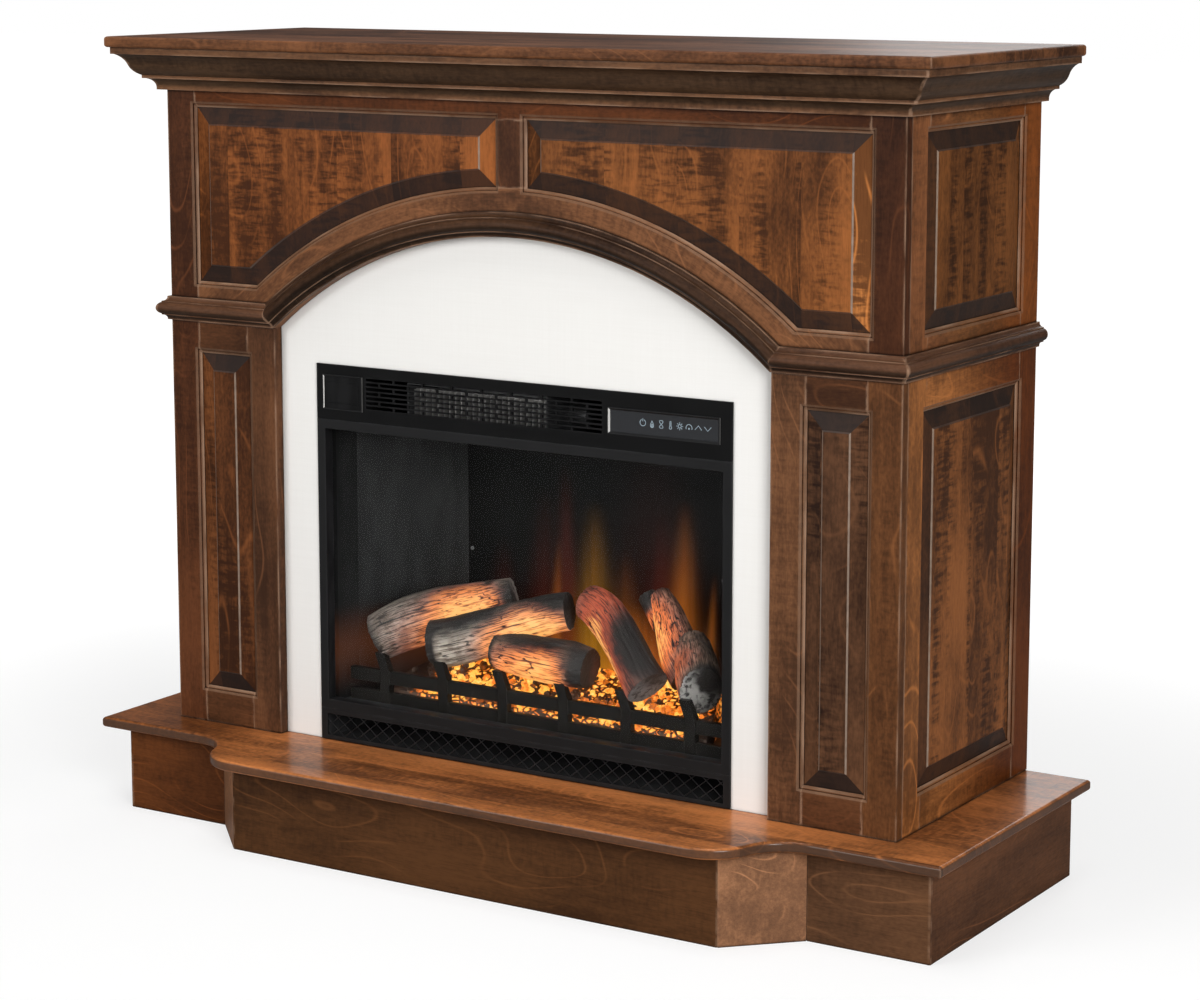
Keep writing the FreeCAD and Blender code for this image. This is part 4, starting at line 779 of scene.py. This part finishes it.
# %% [markdown]
# ## Glass
# The front glass is a thin clear pane. A shadow ray passes straight through it, so the lamps reach the
# logs as they do through real glass, and the pane still reflects the room.

# %% Front glass
material, wiring, shader, place = finish("clear_glass")
smear = wiring.noise(place, (9, 9, 5), 3.0)
wiring.fill(shader, {
    "Roughness": wiring.between(smear, 0.0, 0.004), "Base Color": (0.94, 0.95, 0.95),
    "Transmission Weight": 1.0, "IOR": 1.1})
ray = wiring.node("LightPath").outputs
clear = wiring.node("BsdfTransparent", {"Color": (0.93, 0.94, 0.94)})
both = wiring.node("MixShader", {0: ray["Is Shadow Ray"], 1: shader.outputs[0], 2: clear.outputs[0]})
wiring.fill(material.node_tree.nodes["Material Output"], {"Surface": both.outputs[0]})
dress(material, "front_glass")
print("glass on front_glass")

# %% [markdown]
# ## Flame screen
# The flames are patches of light thrown on a smoked screen from behind. Each is a tall soft tongue: a bell
# curve across, wide at the foot and narrow at the tip, that fades upwards and flickers in fine streaks. They
# could be sheets of their own, but on the real screen they have no thickness either.

# %% Flame tongue group
FLAME_FOOT = 0.30

wiring, given, result = effect(
    "flame_tongue",
    {"across": "value", "up": "value", "streak": "value", "middle": "value", "width": "value", "tip": "value",
     "lean": "value"},
    {"glow": "value"})
height = wiring.math("DIVIDE", wiring.math("SUBTRACT", given["up"], FLAME_FOOT),
                     wiring.math("SUBTRACT", given["tip"], FLAME_FOOT))
rest = wiring.math("MAXIMUM", wiring.math("SUBTRACT", 1.0, height), 0.0)
sway = wiring.times(given["lean"], height)
offset = wiring.math("SUBTRACT", wiring.math("SUBTRACT", given["across"], given["middle"]), sway)
spread = wiring.times(given["width"], wiring.math("MULTIPLY_ADD", rest, 0.7, 0.45))
ratio = wiring.math("DIVIDE", offset, spread)
bell = wiring.math("POWER", math.e, wiring.times(ratio, ratio, -1.0))
wiring.fill(result, {"glow": wiring.times(bell, wiring.math("POWER", rest, 1.3), given["streak"])})
print("flame tongue nodes:", len(wiring.tree.nodes))

# %% Flame screen
# middle, width, tip, lean, then strength and whether the tongue is red, orange or yellow
TONGUES = (
    (-0.084, 0.012, 0.53, 0.010, 0.50, "orange"), (-0.053, 0.022, 0.66, -0.008, 0.24, "red"),
    (-0.004, 0.034, 0.60, 0.004, 0.55, "yellow"), (-0.112, 0.030, 0.62, 0.010, 0.12, "red"),
    (0.176, 0.026, 0.62, 0.006, 0.75, "orange"), (0.140, 0.030, 0.60, -0.004, 0.20, "red"),
    (0.229, 0.010, 0.50, 0.012, 0.45, "orange"), (0.064, 0.030, 0.52, 0.0, 0.30, "orange"),
    (0.085, 0.050, 0.43, 0.0, 0.90, "orange"), (-0.190, 0.030, 0.52, 0.0, 0.10, "red"),
    (0.120, 0.090, 0.72, 0.0, 0.05, "red"))
FLAME_COLOURS = {"red": (0.42, 0.05, 0.02), "orange": (0.62, 0.17, 0.015),
                 "yellow": (0.58, 0.24, 0.013)}

material, wiring, shader, place = finish("smoked_screen")
parts = wiring.split(place)
streak = wiring.math("MULTIPLY_ADD", wiring.noise(place, (70, 70, 5), 2.0), 1.2, 0.4)
light = grey(0)
for middle, width, tip, lean, strength, tone in TONGUES:
    tongue = use(wiring, "flame_tongue", across=parts[0], up=parts[2], streak=streak, middle=middle,
                 width=width, tip=tip, lean=lean)["glow"]
    light = wiring.blend(wiring.times(tongue, strength), light, FLAME_COLOURS[tone], "ADD")
haze = wiring.noise(place, (11, 11, 7), 3.0)
wiring.fill(shader, {
    "Base Color": wiring.blend(haze, grey(0.0012), (0.003, 0.0026, 0.0023)),
    "Roughness": wiring.between(haze, 0.28, 0.40), "Specular IOR Level": 0.1,
    "Emission Color": light, "Emission Strength": 1.0})
dress(material, "flame_screen")
print("flame tongues:", len(TONGUES))

# %% [markdown]
# ## Logs
# The logs are cast resin, coloured as charred bark and lit from inside. Each is a tube round a curved
# line: rings of points whose radius is cut by furrows, with a rough cut face at each end. The furrows
# are noise on the tube, stretched along it, folded at its middle value so that it makes narrow cracks.

# %% Bark tubes
AROUND = 128
ALONG = 120
CAP_RADII = (0.2, 0.45, 0.7, 0.88, 0.97)
UP = np.array([0.0, 0.0, 1.0])
SWELL_WAVES = (30, 30, 9)
FURROW_WAVES = (210, 210, 16)
FINE_WAVES = (480, 480, 45)
CUT_WAVES = 260
FURROW_SHARPNESS = 7
CUT_ROUGHNESS = 0.0022


def unit(vectors):
    """Vectors brought to length one."""
    return vectors / np.linalg.norm(vectors, axis=-1, keepdims=True)


def bezier(controls, count):
    """Points on a Bezier curve: each control weighted by C(n,k) u^k (1-u)^(n-k)."""
    controls = np.asarray(controls, dtype=float)
    last = len(controls) - 1
    u = np.linspace(0, 1, count)[:, None]
    order = np.arange(last + 1)[None, :]
    choose = np.array([math.comb(last, k) for k in range(last + 1)])[None, :]
    return (choose * u ** order * (1 - u) ** (last - order)) @ controls


def patches(entries, lengths, facing):
    """The sum of bell curves along a log, each stronger on the side that it looks towards."""
    total = np.zeros(facing.shape[:2])
    for middle, width, strength, towards in entries:
        lit = np.clip(0.5 + 0.5 * facing @ unit(np.array(towards)), 0, 1) ** 1.5
        total += strength * np.exp(-((lengths - middle) / width) ** 2) * lit
    return total


def bark_tube(seed, controls, radii, depth, glow, char, oval=1.0):
    """A log: r(u, a) = taper, swelling and furrows round a Bezier line, closed by cut faces.

    An oval above 1 makes it taller than wide. Gives the points (first pole, rings, last pole), the faces,
    and the marks for each point.
    """
    line = bezier(controls, ALONG)
    ahead = unit(np.gradient(line, axis=0))
    side = unit(np.cross(ahead, UP))
    lift = np.cross(ahead, side)
    turn = np.linspace(0, math.tau, AROUND, endpoint=False)
    level = np.cos(turn)[None, :, None] * side[:, None]
    upright = np.sin(turn)[None, :, None] * lift[:, None]
    run = np.concatenate([[0], np.cumsum(np.linalg.norm(np.diff(line, axis=0), axis=1))])
    u = run / run[-1]
    taper = np.interp(u, np.linspace(0, 1, len(radii)), radii)[:, None]
    around = np.stack(np.broadcast_arrays(np.cos(turn)[None, :] * taper, np.sin(turn)[None, :] * taper,
                                          run[:, None]), axis=-1)
    swell = lattice_noise(around * SWELL_WAVES + 11.3, seed) - 0.5
    broad = lattice_noise(around * FURROW_WAVES + 5.1, seed + 1)
    fine = lattice_noise(around * FINE_WAVES + 3.7, seed + 2)
    furrow = (1 - np.abs(2 * broad - 1)) ** FURROW_SHARPNESS
    radius = taper * (1 + 0.20 * swell) - depth * furrow + 0.3 * depth * fine
    rings = line[:, None] + radius[..., None] * (level / oval + upright * oval)

    caps = np.array(CAP_RADII)[:, None, None]
    rough = CUT_ROUGHNESS * (lattice_noise(around[:1] * CUT_WAVES * caps + 7.0, seed + 3) - 0.3)
    first = line[0] + caps * (rings[:1] - line[0]) - rough[..., None] * ahead[0]
    last = line[-1] + caps * (rings[-1:] - line[-1]) + rough[..., None] * ahead[-1]
    points = np.concatenate([first, rings, last[::-1]])
    vertices = np.concatenate([[first[0].mean(axis=0)], points.reshape(-1, 3), [last[0].mean(axis=0)]])

    ends = (len(CAP_RADII), len(CAP_RADII))
    lengths = np.pad(u, ends, constant_values=(0, 1))[:, None]
    facing = np.pad(level + upright, (ends, (0, 0), (0, 0)), mode="edge")
    cut = np.pad(np.zeros_like(furrow), (ends, (0, 0)), constant_values=1)
    marks = {"cut": cut, "warmth": patches(glow, lengths, facing) * (1 - cut),
             "char": patches(char, lengths, facing), "furrow": np.pad(furrow, (ends, (0, 0))),
             "bark": np.concatenate([around[:1] * caps, around, around[-1:] * caps[::-1]])}
    marks = {label: np.concatenate([values[:1, 0], values.reshape(-1, *values.shape[2:]), values[-1:, 0]])
             for label, values in marks.items()}
    quads, fans = tube_faces(len(points), AROUND)
    return vertices, quads.tolist() + fans.tolist(), marks


print("bark tube grid:", ALONG, "by", AROUND)


# %% Log resin
SOOT = (0.012, 0.010, 0.009)
MAROON = (0.10, 0.020, 0.012)
YELLOW = (1.0, 0.50, 0.13)


def log_resin(name, bark, shade, ember, cut):
    """Painted resin: bark in two tones, black furrows and char, and light from inside."""
    material, wiring, shader, place = finish(name)
    mark = {label: wiring.node("Attribute", attribute_name=label).outputs["Fac"]
            for label in ("cut", "warmth", "char", "furrow")}
    along_bark = wiring.node("Attribute", attribute_name="bark").outputs["Vector"]
    coarse = wiring.noise(place, (50, 50, 50), 4.0)
    grain = wiring.noise(along_bark, (480, 480, 30), 3.0)
    crackle = wiring.noise(place, (230, 230, 230), 3.0)
    tint = wiring.blend(wiring.step(coarse, 0.35, 0.65), shade, bark)
    groove = wiring.step(grain, 0.46, 0.62)
    tint = wiring.blend(wiring.times(groove, 0.9), tint, (0.20, 0.15, 0.12), "MULTIPLY")
    split = wiring.noise(place, (95, 95, 60), 4.0, 0.6)
    cut_tone = wiring.blend(wiring.step(split, 0.36, 0.52), (0.02, 0.018, 0.017), cut)
    tint = wiring.blend(mark["cut"], tint, cut_tone)
    crack = wiring.step(mark["furrow"], 0.30, 0.90)
    soot = wiring.times(mark["char"], wiring.between(coarse, 0.5, 1.5))
    soot = wiring.step(wiring.math("MAXIMUM", soot, wiring.times(crack, 0.8)), 0.15, 0.95)
    tint = wiring.blend(soot, tint, SOOT)
    tint = wiring.blend(wiring.step(mark["warmth"], 0.1, 0.9), tint, (0.40, 0.30, 0.24), "MULTIPLY")
    open_bark = wiring.math("SUBTRACT", 1.0, wiring.times(soot, 0.92))
    ridges = wiring.times(wiring.between(groove, 1.0, 0.42), wiring.between(coarse, 0.55, 1.45))
    heat = wiring.times(mark["warmth"], wiring.times(open_bark, ridges))
    light = wiring.blend(wiring.step(heat, 0.02, 0.30), grey(0), MAROON)
    light = wiring.blend(wiring.step(heat, 0.15, 0.85), light, ember)
    light = wiring.blend(wiring.step(heat, 0.80, 1.50), light, YELLOW)
    height = wiring.math("MULTIPLY_ADD", crackle, 0.4, grain)
    wiring.fill(shader, {
        "Base Color": tint, "Roughness": wiring.between(crackle, 0.5, 0.75), "Specular IOR Level": 0.3,
        "Emission Color": light, "Emission Strength": 1.0,
        "Normal": wiring.relief(height, 0.6, 0.0015)})
    return material


print("log resin ready")

# %% [markdown]
# Each log has its own row: the control points of its line, its radii from end to end and the depth of its
# furrows, then its tones (bark, shaded bark, ember and cut face), and where it glows and where it is charred.
# A glow or char is a place along the log, a width, a strength and the way that it looks.

# %% Logs
FRONT = (0.25, -0.8, -0.5)
BELOW = (0.1, -0.45, -0.85)
ABOVE = (0.0, 0.25, 1.0)
LEFT = (-0.8, -0.5, -0.2)
RIGHTWARDS = (0.85, -0.25, 0.3)
LOGS = {
    "front_left_log": {
        "controls": ((-0.218, -0.052, 0.3515), (-0.140, -0.046, 0.364), (-0.040, -0.028, 0.420),
                     (0.026, -0.008, 0.4298)),
        "radii": (0.043, 0.041, 0.037, 0.033), "depth": 0.0018,
        "tones": ((0.44, 0.39, 0.33), (0.24, 0.20, 0.165), (0.85, 0.27, 0.07), (0.03, 0.026, 0.024)),
        "glow": ((0.78, 0.26, 1.6, FRONT), (0.52, 0.20, 0.9, BELOW)),
        "char": ((0.0, 0.05, 1.6, FRONT), (0.25, 0.55, 1.5, ABOVE), (1.0, 0.20, 1.7, ABOVE))},
    "back_left_log": {
        "controls": ((-0.338, -0.056, 0.3505), (-0.250, -0.030, 0.400), (-0.190, 0.010, 0.408),
                     (-0.123, 0.045, 0.4318)),
        "radii": (0.043, 0.047, 0.047, 0.040, 0.031), "depth": 0.0024,
        "tones": ((0.24, 0.20, 0.17), (0.10, 0.078, 0.064), (0.85, 0.25, 0.06), (0.20, 0.18, 0.165)),
        "glow": ((0.60, 0.17, 1.9, FRONT), (0.82, 0.15, 1.1, FRONT), (0.35, 0.25, 0.55, BELOW)),
        "char": ((1.0, 0.10, 1.0, FRONT), (0.5, 0.6, 0.7, ABOVE), (0.0, 0.05, 0.8, FRONT))},
    "center_log": {
        "controls": ((-0.086, -0.058, 0.3575), (-0.020, -0.060, 0.356), (0.040, -0.058, 0.353),
                     (0.097, -0.056, 0.3485)),
        "radii": (0.033, 0.036, 0.038, 0.0395, 0.0395, 0.034), "depth": 0.0018,
        "tones": ((0.42, 0.24, 0.15), (0.17, 0.08, 0.05), (0.95, 0.28, 0.07), (0.055, 0.022, 0.016)),
        "glow": ((0.55, 0.26, 1.9, FRONT), (0.20, 0.22, 0.8, BELOW)),
        "char": ((1.0, 0.16, 1.3, FRONT), (0.4, 0.7, 1.2, ABOVE), (0.0, 0.04, 0.9, FRONT))},
    "leaning_log": {
        "controls": ((0.216, -0.065, 0.3325), (0.175, -0.050, 0.370), (0.125, -0.020, 0.440),
                     (0.064, -0.004, 0.4465)),
        "radii": (0.0375, 0.036, 0.036, 0.035, 0.031), "depth": 0.0024,
        "tones": ((0.15, 0.075, 0.055), (0.06, 0.028, 0.022), (0.45, 0.075, 0.03), (0.13, 0.13, 0.13)),
        "glow": ((0.62, 0.30, 1.5, LEFT), (0.25, 0.20, 1.2, LEFT), (0.85, 0.20, 0.5, ABOVE)),
        "char": ((0.30, 0.34, 1.7, RIGHTWARDS), (1.0, 0.08, 0.5, ABOVE))},
    "front_right_log": {
        "controls": ((0.318, -0.064, 0.3425), (0.288, -0.026, 0.366), (0.260, 0.008, 0.3905)),
        "radii": (0.043, 0.044, 0.040, 0.035), "depth": 0.0030, "oval": 1.2,
        "tones": ((0.22, 0.15, 0.11), (0.07, 0.045, 0.035), (0.60, 0.12, 0.03), (0.27, 0.26, 0.245)),
        "glow": ((0.4, 0.4, 0.75, LEFT),),
        "char": ((0.0, 0.12, 1.1, RIGHTWARDS), (0.6, 0.5, 0.6, RIGHTWARDS))},
    "back_right_log": {
        "controls": ((0.271, -0.020, 0.3495), (0.235, -0.005, 0.380), (0.215, 0.020, 0.430),
                     (0.176, 0.040, 0.4666)),
        "radii": (0.036, 0.035, 0.031, 0.025, 0.017), "depth": 0.0024,
        "tones": ((0.30, 0.15, 0.10), (0.11, 0.05, 0.035), (0.85, 0.20, 0.05), (0.03, 0.022, 0.02)),
        "glow": ((0.45, 0.30, 1.8, LEFT), (0.80, 0.20, 0.7, LEFT)),
        "char": ((1.0, 0.08, 0.8, ABOVE), (0.1, 0.15, 0.6, RIGHTWARDS))}}
STUB = {
    "controls": ((0.196, 0.026, 0.425), (0.170, 0.034, 0.445), (0.152, 0.038, 0.464)),
    "radii": (0.024, 0.019, 0.015), "depth": 0.0020,
    "tones": ((0.10, 0.06, 0.05), (0.04, 0.025, 0.02), (0.75, 0.16, 0.04), (0.03, 0.025, 0.022)),
    "glow": ((0.25, 0.25, 1.1, LEFT),),
    "char": ((1.0, 0.45, 1.9, FRONT),)}


def log_piece(name, seed, tones, **form):
    """One dressed log from its row of facts."""
    points, faces, marks = bark_tube(5 * seed, **form)
    return piece("bark_" + name, points, faces, log_resin("resin_" + name, *tones), marks)


for seed, (name, log) in enumerate(LOGS.items(), start=200):
    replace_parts(log_piece(name, seed, **log), name)
log_piece("back_right_stub", 210, **STUB)

# %% [markdown]
# ## Embers
# Under the logs lies a bed of cast crumbs with lamps beneath. The CAD wedge stays as the glowing bed, broken
# into cells with thin black joints, and a few hundred small lumps lie on it. A lump is a ball of few faces,
# squeezed, turned and roughened, and each has its own heat, from black clinker to yellow.

# %% Ember finishes
GLOW_MIDDLE = 0.019
GLOW_HALF = 0.286
CELLS_BENT = (0.012, 0.012, 0.012)


def ember_resin(heat, place, wiring, shader):
    """Dark resin with light from inside, brighter and yellower with heat."""
    crust = wiring.noise(place, (150, 150, 150), 3.0)
    side = wiring.math("ABSOLUTE", wiring.math("SUBTRACT", wiring.split(place)[0], GLOW_MIDDLE))
    warm = wiring.times(heat, wiring.between(crust, 0.1, 1.7),
                        wiring.step(side, GLOW_HALF + 0.02, GLOW_HALF - 0.04))
    light = wiring.blend(wiring.step(warm, 0.12, 0.50), grey(0), (0.80, 0.17, 0.012))
    light = wiring.blend(wiring.step(warm, 0.45, 0.85), light, (1.0, 0.48, 0.07))
    light = wiring.blend(wiring.step(warm, 0.85, 1.40), light, (1.0, 0.72, 0.24))
    wiring.fill(shader, {
        "Base Color": wiring.blend(crust, (0.012, 0.009, 0.008), (0.10, 0.045, 0.02)),
        "Roughness": wiring.between(crust, 0.6, 0.85), "Emission Color": light, "Emission Strength": 1.25,
        "Normal": wiring.relief(crust, 0.6, 0.002)})


material, wiring, shader, place = finish("ember_bed")
crumbs = wiring.node("TexNoise", {"Vector": place, "Scale": 60.0}).outputs["Color"]
bent = wiring.vector("MULTIPLY_ADD", crumbs, CELLS_BENT, place)
cells = wiring.node("TexVoronoi", {"Vector": bent, "Scale": 85.0}, feature="DISTANCE_TO_EDGE")
ember_resin(wiring.step(cells.outputs["Distance"], 0.02, 0.30), place, wiring, shader)
dress(material, "ember_bed")
coal_resin, wiring, shader, place = finish("coal_resin")
ember_resin(wiring.node("Attribute", attribute_name="warmth").outputs["Fac"], place, wiring, shader)
print("ember finishes done")

# %% Coals
COALS = 520
COAL_ROWS = 5
COAL_COLUMNS = 8
COAL_SIZES = (0.004, 0.009)
COAL_SQUEEZE = (0.65, 1.2)
COAL_ROUGHNESS = 0.22
COAL_LIFT = (-0.002, 0.006)
COAL_HEAT = 1.15
BED_DEPTHS = (-0.066, 0.078)
BED_HEIGHTS = (0.2625, 0.3105)
BED_HALVES = (0.318, 0.266)

rng = np.random.default_rng(77)
back = rng.random(COALS)
half = np.interp(back, (0, 1), BED_HALVES)
centre = np.stack([rng.uniform(-1, 1, COALS) * half, np.interp(back, (0, 1), BED_DEPTHS),
                   np.interp(back, (0, 1), BED_HEIGHTS) + rng.uniform(*COAL_LIFT, COALS)], axis=-1)
size = rng.uniform(*COAL_SIZES, (COALS, 1, 1)) * rng.uniform(*COAL_SQUEEZE, (COALS, 1, 3))
polar = np.linspace(0, math.pi, COAL_ROWS + 2)[1:-1]
turn = np.linspace(0, math.tau, COAL_COLUMNS, endpoint=False)
ball = np.stack([np.sin(polar)[:, None] * np.cos(turn), np.sin(polar)[:, None] * np.sin(turn),
                 np.repeat(np.cos(polar)[:, None], COAL_COLUMNS, 1)], axis=-1).reshape(-1, 3)
ball = np.concatenate([[(0, 0, 1.0)], ball, [(0, 0, -1.0)]])
lump = ball[None] * (1 + rng.uniform(-COAL_ROUGHNESS, COAL_ROUGHNESS, (COALS, len(ball), 1))) * size
turned, _ = np.linalg.qr(rng.normal(size=(COALS, 3, 3)))
turned *= np.sign(np.linalg.det(turned))[:, None, None]
points = np.einsum("nij,nkj->nki", turned, lump) + centre[:, None]
shift = (np.arange(COALS) * len(ball))[:, None, None]
faces = []
for corners in tube_faces(COAL_ROWS, COAL_COLUMNS):
    faces += (corners[None, :, ::-1] + shift).reshape(-1, corners.shape[1]).tolist()
heat = np.repeat(COAL_HEAT * rng.random(COALS), len(ball))
piece("ember_coals", points, faces, coal_resin, {"warmth": heat}, smooth=False)

# %% [markdown]
# ## Touch panel
# The controls are eight printed symbols on a strip of gloss black. A symbol is a ribbon of even width along a
# drawn line: each point is moved to both sides along the line's normal. A curve with a bevel would give the
# same lines, but round ones, and print is flat.

# %% Control panel finish
material, wiring, shader, place = finish("control_gloss")
smear = wiring.noise(place, (30, 30, 60), 3.0)
wiring.fill(shader, {
    "Base Color": wiring.blend(smear, (0.006, 0.007, 0.009), (0.012, 0.013, 0.016)),
    "Roughness": wiring.between(smear, 0.06, 0.16)})
dress(material, "control_panel")

symbol_print, wiring, shader, place = finish("symbol_print")
grain = wiring.noise(place, (600, 600, 600), 2.0)
wiring.fill(shader, {
    "Base Color": wiring.blend(grain, (0.16, 0.21, 0.24), (0.28, 0.34, 0.38)),
    "Emission Color": wiring.blend(grain, (0.05, 0.07, 0.085), (0.08, 0.11, 0.13)),
    "Emission Strength": 1.0, "Roughness": wiring.between(grain, 0.3, 0.5)})
print("touch panel finishes done")


# %% Symbols
def arc(radius, start, end, middle=(0, 0), count=28):
    """A circular line from one angle to another, in degrees."""
    angle = np.radians(np.linspace(start, end, count))
    return np.stack([middle[0] + radius * np.cos(angle), middle[1] + radius * np.sin(angle)], axis=-1)


def straight(*corners):
    """A line through corners."""
    return np.array(corners, dtype=float)


def ribbon(line, half_width):
    """Two edges of a flat ribbon: the line moved by its normal to both sides."""
    ahead = unit(np.gradient(line, axis=0))
    normal = np.stack([-ahead[:, 1], ahead[:, 0]], axis=-1) * half_width
    return np.stack([line - normal, line + normal])


spin = np.linspace(0, math.tau, 40)
teardrop = np.stack([0.62 * np.sin(spin) * np.sin(spin / 2) ** 1.4, -0.15 + 0.85 * np.cos(spin)], axis=-1)
# power, flame, timer, thermometer, lamp, heat, up and down
SYMBOLS = (
    (arc(0.8, 115, 425), straight((0, 0.3), (0, 1.05))),
    (teardrop, 0.45 * teardrop + (0.02, -0.42)),
    (np.stack([0.5 * np.sin(2 * spin), 0.95 * np.cos(spin)], axis=-1),),
    (arc(0.34, 118, 422, (0, -0.6)), straight((-0.16, -0.3), (-0.16, 0.8)),
     straight((0.16, -0.3), (0.16, 0.8)), arc(0.16, 0, 180, (0, 0.8))),
    (arc(0.42, 0, 360),
     *(arc(0.78, turn, turn, count=2) * [[0.78], [1.22]] for turn in range(0, 360, 45))),
    (arc(0.85, -25, 205, (0, -0.2)), arc(0.16, 0, 360, (0.0, -0.4))),
    (straight((-0.95, -0.45), (0, 0.55), (0.95, -0.45)),),
    (straight((-0.95, 0.45), (0, -0.55), (0.95, 0.45)),))
SYMBOL_FIRST = 0.2465
SYMBOL_PITCH = 0.0173
SYMBOL_HALF = 0.0066
SYMBOL_UP = 0.791
STROKE = 0.085
PRINT_PROUD = 0.00012
PRINT_THICK = 0.0001
panel_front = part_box("control_panel")[0][1]

points = []
faces = []
count = 0
for number, lines in enumerate(SYMBOLS):
    for line in lines:
        edges = ribbon(line, STROKE) * SYMBOL_HALF
        flat = np.stack([edges[..., 0] + SYMBOL_FIRST + number * SYMBOL_PITCH,
                         np.full(edges.shape[:2], panel_front - PRINT_PROUD), edges[..., 1] + SYMBOL_UP],
                        axis=-1)
        faces += grid_faces(2, len(line), first=count).tolist()
        points.append(flat.reshape(-1, 3))
        count += 2 * len(line)
made = piece("touch_symbols", np.concatenate(points), faces, symbol_print, smooth=False)
thick = made.modifiers.new("print", "SOLIDIFY")
thick.thickness = PRINT_THICK
thick.offset = -1

# %% [markdown]
# The touch panel and the blank plate each lie in a bevelled metal rim. Its faces that look to the right,
# such as the left bevel of each, face the key light and are painted bright as a painted highlight. A rim is
# four loops of four corners: up the outside, then down a slope to the inside.

# %% Bevelled rims
RIM_WIDTH = 0.0012
RIM_SLOPE = 0.0026
RIM_PROUD = 0.0026


def rim(low, high, proud):
    """A four-cornered loop of points at one depth."""
    return np.array([(low[0], proud, low[1]), (high[0], proud, low[1]), (high[0], proud, high[1]),
                     (low[0], proud, high[1])])


fascia_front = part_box("top_fascia")[0][1]
rim_paint, wiring, shader, place = finish("rim_metal")
across = wiring.split(wiring.node("NewGeometry").outputs["Normal"])[0]
marks = wiring.noise(place, BRUSHED, 3.0)
# painted highlight: faces that look right, towards the key light, get a bright metal colour
tint = wiring.blend(wiring.step(across, 0.3, 0.6), (0.035, 0.035, 0.036), (0.55, 0.54, 0.52))
wiring.fill(shader, {
    "Base Color": wiring.blend(marks, tint, grey(0.5), "MULTIPLY"), "Metallic": 0.8,
    "Roughness": wiring.between(marks, 0.28, 0.46)})
for name, plate in (("control_rim", "control_panel"), ("blank_rim", "blank_plate")):
    low, high = np.array(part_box(plate))[:, [0, 2]]
    loops = np.stack([rim(low - RIM_WIDTH, high + RIM_WIDTH, fascia_front),
                      rim(low - RIM_WIDTH, high + RIM_WIDTH, fascia_front - RIM_PROUD),
                      rim(low, high, fascia_front - RIM_PROUD),
                      rim(low + RIM_SLOPE, high - RIM_SLOPE, fascia_front)])
    piece(name, loops, grid_faces(4, 4, True, True).tolist(), rim_paint, smooth=False)
